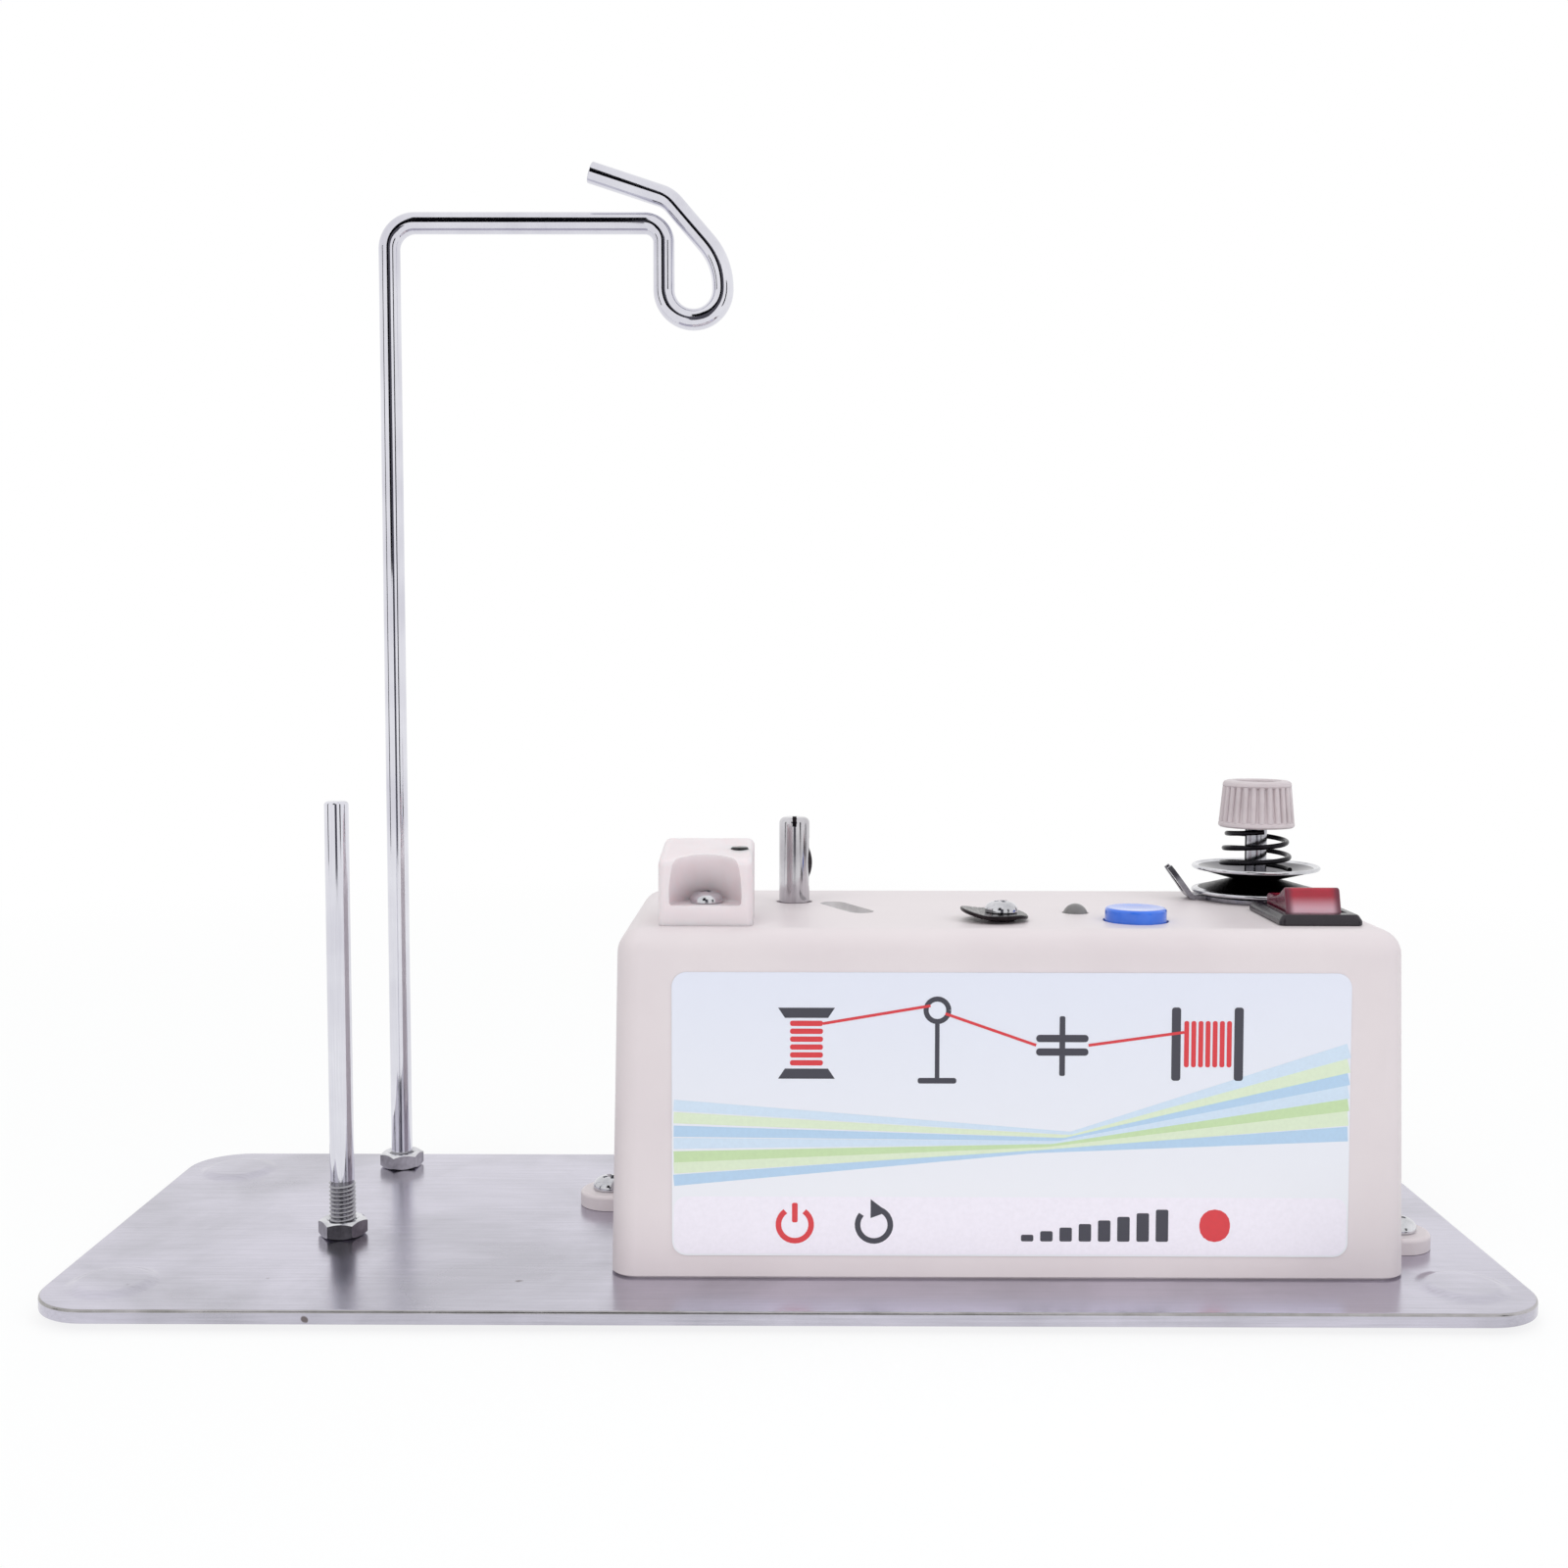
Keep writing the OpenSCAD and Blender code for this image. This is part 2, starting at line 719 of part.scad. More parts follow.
module rod_lock_nuts() {
    color("#bfc1c6")
    for (p = rod_places)
        translate([p.x, p.y, plate_top])
            hex_nut(nut_flats, nut_t, rod_thread_d / 2 + fit_gap);
}

module fill_stop_block() {
    side = [
        [0, 0], [block_d, 0], [block_d, block_back_h], [block_d / 3, block_front_h + 1],
        [block_edge_r, block_front_h], [0, block_front_h - block_edge_r]
    ];
    color("#e6dadc")
    translate([block_x, block_y, top_z + seat_gap])
        difference() {
            intersection() {
                translate([-block_w / 2, 0, 0])
                    rotate([90, 0, 90])
                        linear_extrude(block_w)
                            polygon(side);
                translate([0, block_d / 2, 0])
                    linear_extrude(block_back_h)
                        round_rect(block_w, block_d, block_edge_r);
            }
            intersection() {
                translate([0, pocket_set + pocket_r - pocket_r / cos(pocket_lean), ledge_h])
                    rotate([pocket_lean, 0, 0])
                        cylinder(r = pocket_r, h = 4 * block_back_h, center = true);
                translate([-block_w, -block_d, ledge_h])
                    cube([2 * block_w, 2 * block_d, block_back_h]);
            }
            translate([0, pivot_y - block_y, -eps])
                cylinder(r = top_screw_d / 2 + fit_gap, h = ledge_h + 2 * eps);
            translate([block_w / 2 - eye_inset_x, eye_back, block_front_h - eye_deep])
                cylinder(d = eye_hole_d, h = block_back_h);
        }
}

module fill_stop_screw() {
    color("#c9cacd")
    translate([block_x, pivot_y, top_z + 2 * seat_gap + ledge_h])
        pan_screw(top_screw_d, ledge_h + housing_wall + boss_l - 1);
}

module fill_sensor() {
    color("#15151a")
    translate([block_x + block_w / 2 - eye_inset_x, block_y + eye_back,
            top_z + seat_gap + block_front_h - eye_deep])
        cylinder(d = eye_hole_d - 2 * fit_gap, h = eye_top - block_front_h + eye_deep + sensor_proud);
}

module bobbin_spindle() {
    tip_z = top_z + spindle_h;
    color("#b4b5b9")
    difference() {
        union() {
            translate([spindle_x, spindle_y, spindle_z])
                cylinder(d = shank_d, h = shoulder_z - spindle_z);
            translate([spindle_x, spindle_y, spindle_z])
                cylinder(d = spindle_d, h = tip_z - spindle_z - spindle_crown_r);
            translate([spindle_x, spindle_y, tip_z - spindle_crown_r])
                rotate_extrude() {
                    square([spindle_d / 2 - spindle_crown_r, spindle_crown_r]);
                    intersection() {
                        translate([spindle_d / 2 - spindle_crown_r, 0])
                            circle(spindle_crown_r);
                        square(spindle_d);
                    }
                }
        }
        translate([spindle_x - slit_w / 2, spindle_y - spindle_d, tip_z - slit_deep])
            cube([slit_w, spindle_d + slit_past, slit_deep + eps]);
        translate([spindle_x + spindle_d / 2 - groove_deep, spindle_y - groove_w / 2, groove_z])
            cube([2 * groove_deep, groove_w, groove_l]);
        translate([spindle_x, spindle_y, spindle_z - eps])
            cylinder(r = motor_shaft_d / 2 + fit_gap / 5, h = shaft_in_spindle + eps);
    }
}

module spindle_spring() {
    leaf_t = 0.6;
    leaf_steps = 12;
    foot = spindle_d / 2 - groove_deep + leaf_t + seat_gap;
    reach = spindle_d / 2 + leaf_bulge;
    outer = [for (i = [0 : leaf_steps])
        [foot + (reach - foot) * sin(180 * i / leaf_steps), groove_l * i / leaf_steps]];
    inner = [for (i = [leaf_steps : -1 : 0]) outer[i] - [leaf_t, 0]];
    color("#2b2a2d")
    translate([spindle_x, spindle_y + groove_w / 2 - fit_gap, groove_z])
        rotate([90, 0, 0])
            linear_extrude(groove_w - 2 * fit_gap)
                polygon(concat(outer, inner));
}

module spindle_bush() {
    color("#b58a4a")
    translate([spindle_x, spindle_y, under_z + bush_seat - bush_l])
        ring(bush_d / 2, shank_d / 2 + fit_gap, bush_l);
}

module motor_can() {
    color("#9b9da3")
    translate([spindle_x, spindle_y, motor_plate_z - motor_l])
        difference() {
            union() {
                cylinder(d = motor_d, h = motor_l);
                cylinder(d = motor_nose_d, h = motor_l + motor_plate_t);
            }
            translate([0, 0, motor_l + motor_plate_t - shaft_in_can])
                cylinder(r = motor_shaft_d / 2 + fit_gap, h = shaft_in_can + eps);
            for (s = [-1, 1])
                translate([s * motor_screw_pitch / 2, 0, motor_l - shaft_in_can])
                    cylinder(r = small_screw_d / 2 + fit_gap, h = shaft_in_can + eps);
        }
}

module motor_cap() {
    color("#e8e6e0")
    translate([spindle_x, spindle_y, motor_plate_z - motor_l - motor_cap_l])
        cylinder(d = motor_cap_d, h = motor_cap_l);
}

module motor_terminals() {
    color("#c8a860")
    for (s = [-1, 1])
        translate([spindle_x + s * motor_cap_d / 3, spindle_y,
                motor_plate_z - motor_l - motor_cap_l - terminal_l / 2])
            cube([0.5, 2.8, terminal_l], center = true);
}

module motor_shaft() {
    color("#b4b5b9")
    translate([spindle_x, spindle_y, motor_plate_z + motor_plate_t - shaft_in_can + seat_gap])
        cylinder(d = motor_shaft_d,
            h = spindle_z + shaft_in_spindle - motor_plate_z - motor_plate_t + shaft_in_can - 2 * seat_gap);
}

module motor_plate() {
    color("#b0b2b7")
    translate([spindle_x, spindle_y, motor_plate_z])
        difference() {
            linear_extrude(motor_plate_t)
                round_rect(motor_plate_w, motor_plate_d, boss_wall);
            translate([0, 0, -eps])
                cylinder(r = motor_nose_d / 2 + fit_gap, h = motor_plate_t + 2 * eps);
            for (s = [-1, 1])
                translate([s * motor_screw_pitch / 2, 0, -eps])
                    cylinder(r = small_screw_d / 2 + screw_gap, h = motor_plate_t + 2 * eps);
            for (sx = [-1, 1], sy = [-1, 1])
                translate([sx * motor_hole_x, sy * motor_hole_y, -eps])
                    cylinder(r = small_screw_d / 2 + screw_gap, h = motor_plate_t + 2 * eps);
        }
}

module motor_screws() {
    color("#c9cacd")
    for (s = [-1, 1])
        translate([spindle_x + s * motor_screw_pitch / 2, spindle_y, motor_plate_z + motor_plate_t])
            pan_screw(small_screw_d, motor_plate_t + shaft_in_can / 2);
}

module motor_plate_screws() {
    color("#c9cacd")
    for (sx = [-1, 1], sy = [-1, 1])
        translate([spindle_x + sx * motor_hole_x, spindle_y + sy * motor_hole_y, motor_plate_z])
            rotate([180, 0, 0])
                pan_screw(tap_d, motor_plate_t + motor_boss_l / 2);
}

module cutter_disc() {
    r = cutter_d / 2;
    tip_rise = 1;
    tail_drop = 0.5;
    middle = cutter_screw_x - cutter_x;
    flat = top_screw_d;
    z = cutter_stand;
    under = [[-r, z + tip_rise], [middle - flat, z], [middle + flat, z], [r, z - tail_drop]];
    over = [for (i = [3 : -1 : 0]) under[i] + [0, cutter_t]];
    color("#1d1c1e")
    translate([cutter_x, cutter_y, top_z])
        difference() {
            union() {
                intersection() {
                    translate([0, r, 0])
                        rotate([90, 0, 0])
                            linear_extrude(cutter_d)
                                polygon(concat(under, over));
                    cylinder(r = r, h = z + tip_rise + cutter_t);
                }
                translate([middle, 0, 0])
                    cylinder(r = top_screw_d / 2 + boss_wall / 2, h = z + cutter_t / 2);
            }
            translate([middle, 0, -eps])
                cylinder(r = top_screw_d / 2 + fit_gap, h = z + cutter_t + 2 * eps);
        }
}

module cutter_screw() {
    color("#c9cacd")
    translate([cutter_screw_x, cutter_y, top_z + cutter_stand + cutter_t])
        pan_screw(top_screw_d, cutter_stand + cutter_t + housing_wall + boss_l - 1);
}

module indicator_led() {
    color("#9a9a9c")
    translate([led_x, led_y, 0]) {
        translate([0, 0, under_z])
            cylinder(d = led_d, h = housing_wall + led_h - led_d / 2);
        translate([0, 0, top_z + led_h - led_d / 2])
            sphere(led_d / 2);
        translate([0, 0, under_z - led_flange_t])
            cylinder(r = led_d / 2 + led_flange, h = led_flange_t);
        for (s = [-1, 1])
            translate([s * led_leg_pitch / 2, 0, board_z + board_t])
                cylinder(d = led_leg_d, h = under_z - led_flange_t / 2 - board_z - board_t);
    }
}

module start_button() {
    stem_z = board_z + board_t + switch_h + button_travel + move_gap;
    rim = 0.6;
    color("#2f63c9")
    translate([button_x, button_y, 0]) {
        translate([0, 0, under_z - flange_t])
            cylinder(d = button_d, h = flange_t + housing_wall + button_h - rim);
        translate([0, 0, top_z + button_h - rim])
            cylinder(d1 = button_d, d2 = button_d - 2 * rim, h = rim);
        translate([0, 0, under_z - flange_t - seat_gap])
            cylinder(r = button_d / 2 + button_flange, h = flange_t);
        translate([0, 0, stem_z])
            cylinder(d = stem_d, h = under_z - flange_t / 2 - stem_z);
    }
}

module button_switch() {
    plunger_d = 6.8;
    plunger_h = 3;
    color("#26262a")
    translate([button_x, button_y, board_z + board_t]) {
        translate([0, 0, (switch_h - plunger_h) / 2])
            cube([switch_w, switch_w, switch_h - plunger_h], center = true);
        cylinder(d = plunger_d, h = switch_h);
    }
}

module control_board() {
    w = board_right - board_left + 2 * board_margin;
    d = board_back - board_front + 2 * board_margin;
    color("#2f6b45")
    difference() {
        translate([(board_left + board_right) / 2, (board_front + board_back) / 2, board_z])
            linear_extrude(board_t)
                round_rect(w, d, board_margin / 2);
        for (p = board_holes)
            translate([p.x, p.y, board_z - eps])
                cylinder(r = small_screw_d / 2 + screw_gap, h = board_t + 2 * eps);
    }
}

module board_screws() {
    color("#c9cacd")
    for (p = board_holes)
        translate([p.x, p.y, board_z])
            rotate([180, 0, 0])
                pan_screw(tap_d, board_t + motor_boss_l / 2);
}

module rocker_frame() {
    well_z = key_pivot_z - key_reach - key_end_gap;
    slope = 0.9;
    color("#232226")
    translate([rocker_x, rocker_y, 0])
        difference() {
            union() {
                hull() {
                    translate([0, 0, top_z])
                        linear_extrude(0.6)
                            round_rect(bezel_w, bezel_l, 1, $fn = 32);
                    translate([0, 0, top_z + bezel_h - 0.1])
                        linear_extrude(0.1)
                            round_rect(bezel_w - 2 * slope, bezel_l - 2 * slope / 2, 0.6, $fn = 32);
                }
                translate([-rocker_body_w / 2, -rocker_body_l / 2, top_z - rocker_body_d])
                    cube([rocker_body_w, rocker_body_l, rocker_body_d + bezel_h / 2]);
            }
            translate([-key_well_w / 2, -key_well_l / 2, well_z])
                cube([key_well_w, key_well_l, 2 * key_reach]);
            translate([0, 0, key_pivot_z])
                rotate([0, 90, 0])
                    cylinder(r = key_pin_r + fit_gap, h = key_pin_l + 2 * move_gap, center = true);
        }
}

// The rocker's ends lean in, so that the pressed end stays inside its well
module rocker_key() {
    tip = [
        key_reach * cos(key_tilt) - key_lip * sin(key_tilt),
        key_reach * sin(key_tilt) + key_lip * cos(key_tilt)
    ];
    shoulder = [key_reach - 0.8, 1.8];
    low = [key_reach - 0.8, -1];
    foot = [key_reach - 2.1, -key_below];
    half = [foot, low, shoulder, tip];
    side = concat(half, [[0, tip.y - key_valley]], [for (i = [3 : -1 : 0]) [-half[i].x, half[i].y]]);
    color("#c32340")
    translate([rocker_x, rocker_y, key_pivot_z])
        rotate([-key_tilt, 0, 0]) {
            translate([-key_w / 2, 0, 0])
                rotate([90, 0, 90])
                    linear_extrude(key_w)
                        polygon(side);
            rotate([0, 90, 0])
                cylinder(r = key_pin_r, h = key_pin_l, center = true);
        }
}

module rocker_terminals() {
    tab_w = 4.8;
    tab_t = 0.8;
    tab_l = 8;
    tab_inset = 3;
    color("#c8a860")
    for (s = [-1, 1])
        translate([rocker_x, rocker_y + s * (rocker_body_l / 2 - tab_inset),
                top_z - rocker_body_d - tab_l / 2])
            cube([tab_w, tab_t, tab_l], center = true);
}

module tension_bracket() {
    tip = [-bracket_reach - guide_l * cos(guide_angle), guide_l * sin(guide_angle)];
    back = bracket_t * [sin(guide_angle), cos(guide_angle)];
    color("#8d8f96")
    translate([tension_x, tension_y, top_z])
        difference() {
            union() {
                cylinder(r = bracket_r, h = bracket_t);
                translate([-bracket_reach, -guide_w / 2, 0])
                    cube([bracket_reach, guide_w, bracket_t]);
                translate([0, guide_w / 2, 0])
                    rotate([90, 0, 0])
                        linear_extrude(guide_w)
                            polygon([[-bracket_reach, 0], tip, tip + back, [-bracket_reach + back.x, bracket_t]]);
            }
            translate([0, 0, -eps])
                cylinder(r = post_d / 2 + fit_gap, h = bracket_t + 2 * eps);
            translate([tip.x + guide_hole_d * cos(guide_angle), 0, tip.y - guide_hole_d * sin(guide_angle)])
                rotate([0, guide_angle - 90, 0])
                    cylinder(d = guide_hole_d, h = 6 * bracket_t, center = true);
        }
}

// The section of a dished disc from its bore to its rim, with its flat at the given height
module disc_section(flat_z, rim_z) {
    bore = post_d / 2 + 2 * fit_gap;
    rim = disc_d / 2;
    polygon([
        [bore, flat_z], [disc_flat_r, flat_z], [rim, rim_z], [rim, rim_z + disc_t],
        [disc_flat_r, flat_z + disc_t], [bore, flat_z + disc_t]
    ]);
}

module lower_tension_disc() {
    color("#77797f")
    translate([tension_x, tension_y, 0])
        rotate_extrude()
            disc_section(lower_flat_z, lower_rim_z);
}

module upper_tension_disc() {
    color("#77797f")
    translate([tension_x, tension_y, 0])
        rotate_extrude()
            disc_section(upper_flat_z, upper_flat_z + disc_dish);
}

module tension_spring() {
    points = [for (i = [0 : spring_rings], k = [0 : ring_sides - 1]) ring_point(i, k)];
    sides = [for (i = [0 : spring_rings - 1], k = [0 : ring_sides - 1], half = [0, 1])
        let (a = i * ring_sides + k, b = i * ring_sides + (k + 1) % ring_sides)
        half == 0 ? [a, b, b + ring_sides] : [a, b + ring_sides, a + ring_sides]];
    last = spring_rings * ring_sides;
    caps = [for (k = [1 : ring_sides - 2], end = [0, 1])
        end == 0 ? [0, k + 1, k] : [last, last + k, last + k + 1]];
    color("#1b1b1d")
    translate([tension_x, tension_y, 0])
        polyhedron(points, concat(sides, caps));
    echo(least_gap_between_turns = spring_gap);
}

module tension_washer() {
    color("#8d8f96")
    translate([tension_x, tension_y, washer_z])
        ring(thumb_low_d / 2 - thumb_skirt - move_gap, post_d / 2 + fit_gap, washer_t);
}

module tension_nut() {
    groove_r = 0.5;
    groove_foot = 1.2;
    slope = (thumb_low_d - thumb_high_d) / 2 / thumb_h;
    color("#cfc6c8")
    translate([tension_x, tension_y, thumb_z])
        difference() {
            cylinder(d1 = thumb_low_d, d2 = thumb_high_d, h = thumb_h);
            for (k = [0 : thumb_ribs - 1])
                rotate(360 * k / thumb_ribs)
                    translate([thumb_low_d / 2 - groove_foot * slope, 0, groove_foot])
                        rotate([0, -atan(slope), 0])
                            cylinder(r = groove_r, h = thumb_h - 2 * groove_foot, $fn = 24);
            translate([0, 0, -eps])
                cylinder(r = thumb_low_d / 2 - thumb_skirt, h = thumb_recess + eps);
            translate([0, 0, -eps])
                cylinder(r = post_d / 2 + fit_gap, h = thumb_h + 2 * eps);
            translate([0, 0, thumb_h - thumb_dish_deep])
                cylinder(d = thumb_dish_d, h = thumb_dish_deep + eps);
        }
}

module tension_post() {
    foot_z = under_z - post_nut_t - 2;
    color("#a9abb1")
    translate([tension_x, tension_y, 0])
        difference() {
            union() {
                translate([0, 0, foot_z])
                    cylinder(d = post_d, h = post_top - foot_z);
                translate([0, 0, collar_z])
                    cylinder(d = collar_d, h = lower_flat_z - collar_z);
            }
            translate([-post_d, -post_slot / 2, upper_flat_z + 2 * disc_t])
                cube([2 * post_d, post_slot, post_top]);
        }
}

module tension_post_nut() {
    color("#bfc1c6")
    translate([tension_x, tension_y, under_z - post_nut_t])
        hex_nut(nut_flats, post_nut_t, post_d / 2 + fit_gap);
}

module power_socket() {
    color("#1e1e20")
    translate([socket_x, socket_face + socket_flange_t, socket_z])
        rotate([90, 0, 0])
            difference() {
                union() {
                    cylinder(d = socket_flange_d, h = socket_flange_t);
                    cylinder(d = socket_d, h = socket_l);
                }
                translate([0, 0, -eps])
                    cylinder(d = plug_d, h = socket_l - 2 + eps);
            }
    color("#c9cacd")
    translate([socket_x, socket_face + socket_flange_t - 1.5, socket_z])
        rotate([90, 0, 0])
            cylinder(d = socket_pin_d, h = socket_l - 3);
}

module socket_nut() {
    color("#bfc1c6")
    translate([socket_x, back_y - housing_wall - socket_pad_in, socket_z])
        rotate([90, 0, 0])
            hex_nut(socket_d + 3, 2.5, socket_d / 2 + fit_gap);
}

base_plate();
rubber_feet();
housing();
front_label();
housing_screws();
spool_pin();
thread_stand();
rod_lock_nuts();
fill_stop_block();
fill_stop_screw();
fill_sensor();
bobbin_spindle();
spindle_spring();
spindle_bush();
motor_can();
motor_cap();
motor_terminals();
motor_shaft();
motor_plate();
motor_screws();
motor_plate_screws();
cutter_disc();
cutter_screw();
indicator_led();
start_button();
button_switch();
control_board();
board_screws();
rocker_frame();
rocker_key();
rocker_terminals();
tension_bracket();
lower_tension_disc();
upper_tension_disc();
tension_spring();
tension_washer();
tension_nut();
tension_post();
tension_post_nut();
power_socket();
socket_nut();
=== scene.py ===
import bmesh
import bpy
from math import acos, asin, atan2, cos, pi, radians, sin, tan
from mathutils import Matrix, Vector


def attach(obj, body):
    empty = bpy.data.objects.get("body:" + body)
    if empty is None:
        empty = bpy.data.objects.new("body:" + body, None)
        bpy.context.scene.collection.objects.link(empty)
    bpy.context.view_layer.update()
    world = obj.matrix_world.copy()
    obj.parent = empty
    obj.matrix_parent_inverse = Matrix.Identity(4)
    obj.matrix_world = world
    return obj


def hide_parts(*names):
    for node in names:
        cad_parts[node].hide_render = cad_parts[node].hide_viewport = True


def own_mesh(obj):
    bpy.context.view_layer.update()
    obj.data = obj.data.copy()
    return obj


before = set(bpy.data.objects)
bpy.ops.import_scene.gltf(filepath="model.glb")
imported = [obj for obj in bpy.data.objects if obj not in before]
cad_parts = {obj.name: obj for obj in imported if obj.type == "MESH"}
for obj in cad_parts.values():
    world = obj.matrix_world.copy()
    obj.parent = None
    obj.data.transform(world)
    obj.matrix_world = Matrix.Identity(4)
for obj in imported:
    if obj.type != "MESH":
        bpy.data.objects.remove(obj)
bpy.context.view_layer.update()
scene = bpy.context.scene
mm = 0.001

# levels and places that several pieces share, in mm as in the part's source
level = {"plateLow": 1.2, "plateTop": 3.7, "top": 65.7, "under": 63.2}
place = {
    "pin": (-84.9, -7.6), "stand": (-84.0, 37.0), "spindle": (1.3, 9.0), "block": (-14.7, -24.2),
    "blockScrew": (-14.7, -19.2), "cutter": (37.9, -16.0), "cutterScrew": (39.2, -16.0), "led": (54.5, -5.9),
    "button": (63.9, -15.8), "rocker": (95.9, -12.2), "tension": (94.0, 14.0), "inlet": (60.6, 19.7),
    "housing": (39.4, 0.0), "front": (39.4, -30.5),
    "ears": ((-35.8, 12.0, pi), (114.6, -12.0, 0.0)),
    "bosses": tuple((sx * 118.5, sy * 33.5) for sx in (-1, 1) for sy in (-1, 1)),
}


# node and colour helpers
def toLinear(hexColour):
    parts = [int(hexColour[i:i + 2], 16) / 255 for i in (1, 3, 5)]
    return tuple(c / 12.92 if c <= 0.04045 else ((c + 0.055) / 1.055) ** 2.4 for c in parts) + (1.0,)


def addNode(tree, kind, inputs={}, settings={}):
    node = tree.nodes.new(kind)
    for key, value in settings.items():
        setattr(node, key, value)
    for key, value in inputs.items():
        if isinstance(value, bpy.types.NodeSocket):
            tree.links.new(value, node.inputs[key])
        else:
            node.inputs[key].default_value = value
    return node


# a new material with its tree, its shader and the piece's own coordinates
def startMaterial(name, colour, values={}):
    material = bpy.data.materials.new(name)
    material.use_nodes = True
    tree = material.node_tree
    shader = tree.nodes["Principled BSDF"]
    shader.inputs["Base Color"].default_value = toLinear(colour)
    for key, value in values.items():
        shader.inputs[key].default_value = value
    return material, tree, shader, addNode(tree, "ShaderNodeTexCoord").outputs["Object"]


# the surface's colour and gloss, and its relief where it has one
def dress(tree, shader, colour, gloss, height=None, bumpMm=0.0):
    tree.links.new(colour, shader.inputs["Base Color"])
    tree.links.new(gloss, shader.inputs["Roughness"])
    if height:
        relief = addNode(tree, "ShaderNodeBump", {"Height": height, "Strength": 1.0, "Distance": bumpMm * mm})
        tree.links.new(relief.outputs[0], shader.inputs["Normal"])


# metal: grain of grainMm stretched by stretch tints it, breaks its gloss and scores it bumpMm deep;
# real draw marks are near 0.05 mm, and are drawn several times coarser to show
def metalFinish(name, colour, dark, roughness, spread, grainMm, stretch, bumpMm, cloudMm=14.0):
    material, tree, shader, coords = startMaterial(name, colour, {"Metallic": 1.0})
    lined = addNode(tree, "ShaderNodeMapping", {"Vector": coords, "Scale": stretch})
    grain = addNode(tree, "ShaderNodeTexNoise", {
        "Vector": lined.outputs[0], "Scale": 1000 / grainMm, "Detail": 2.0, "Roughness": 0.6})
    cloud = addNode(tree, "ShaderNodeTexNoise", {"Vector": coords, "Scale": 1000 / cloudMm, "Detail": 3.0})
    both = addNode(tree, "ShaderNodeMix", {
        0: 0.25, 2: cloud.outputs["Fac"], 3: grain.outputs["Fac"]}, {"data_type": "FLOAT"})
    share = addNode(tree, "ShaderNodeMapRange", {"Value": both.outputs[0], "From Min": 0.34, "From Max": 0.66})
    tint = addNode(tree, "ShaderNodeMix", {
        0: share.outputs[0], 6: toLinear(dark), 7: toLinear(colour)}, {"data_type": "RGBA"})
    gloss = addNode(tree, "ShaderNodeMapRange", {
        "Value": grain.outputs["Fac"], "From Min": 0.3, "From Max": 0.7,
        "To Min": roughness + spread, "To Max": max(roughness - spread, 0.02)})
    dress(tree, shader, tint.outputs[2], gloss.outputs[0], grain.outputs["Fac"], bumpMm)
    return material


# moulded plastic or rubber: an etched mould's grain, cloudy colour, and dust-dulled patches of gloss;
# the real grain is near 0.15 mm, and is drawn about three times coarser to show
def mouldedFinish(name, colour, shade, roughness, spread, grainMm, bumpMm, cloudMm, values={}):
    material, tree, shader, coords = startMaterial(name, colour, values)
    grain = addNode(tree, "ShaderNodeTexNoise", {
        "Vector": coords, "Scale": 1000 / grainMm, "Detail": 2.0, "Roughness": 0.55})
    cloud = addNode(tree, "ShaderNodeTexNoise", {"Vector": coords, "Scale": 1000 / cloudMm, "Detail": 4.0})
    share = addNode(tree, "ShaderNodeMapRange", {"Value": cloud.outputs["Fac"], "From Min": 0.3, "From Max": 0.7})
    tint = addNode(tree, "ShaderNodeMix", {
        0: share.outputs[0], 6: toLinear(shade), 7: toLinear(colour)}, {"data_type": "RGBA"})
    gloss = addNode(tree, "ShaderNodeMapRange", {
        "Value": cloud.outputs["Fac"], "From Min": 0.3, "From Max": 0.7,
        "To Min": roughness - spread, "To Max": roughness + spread})
    dress(tree, shader, tint.outputs[2], gloss.outputs[0], grain.outputs["Fac"], bumpMm)
    return material


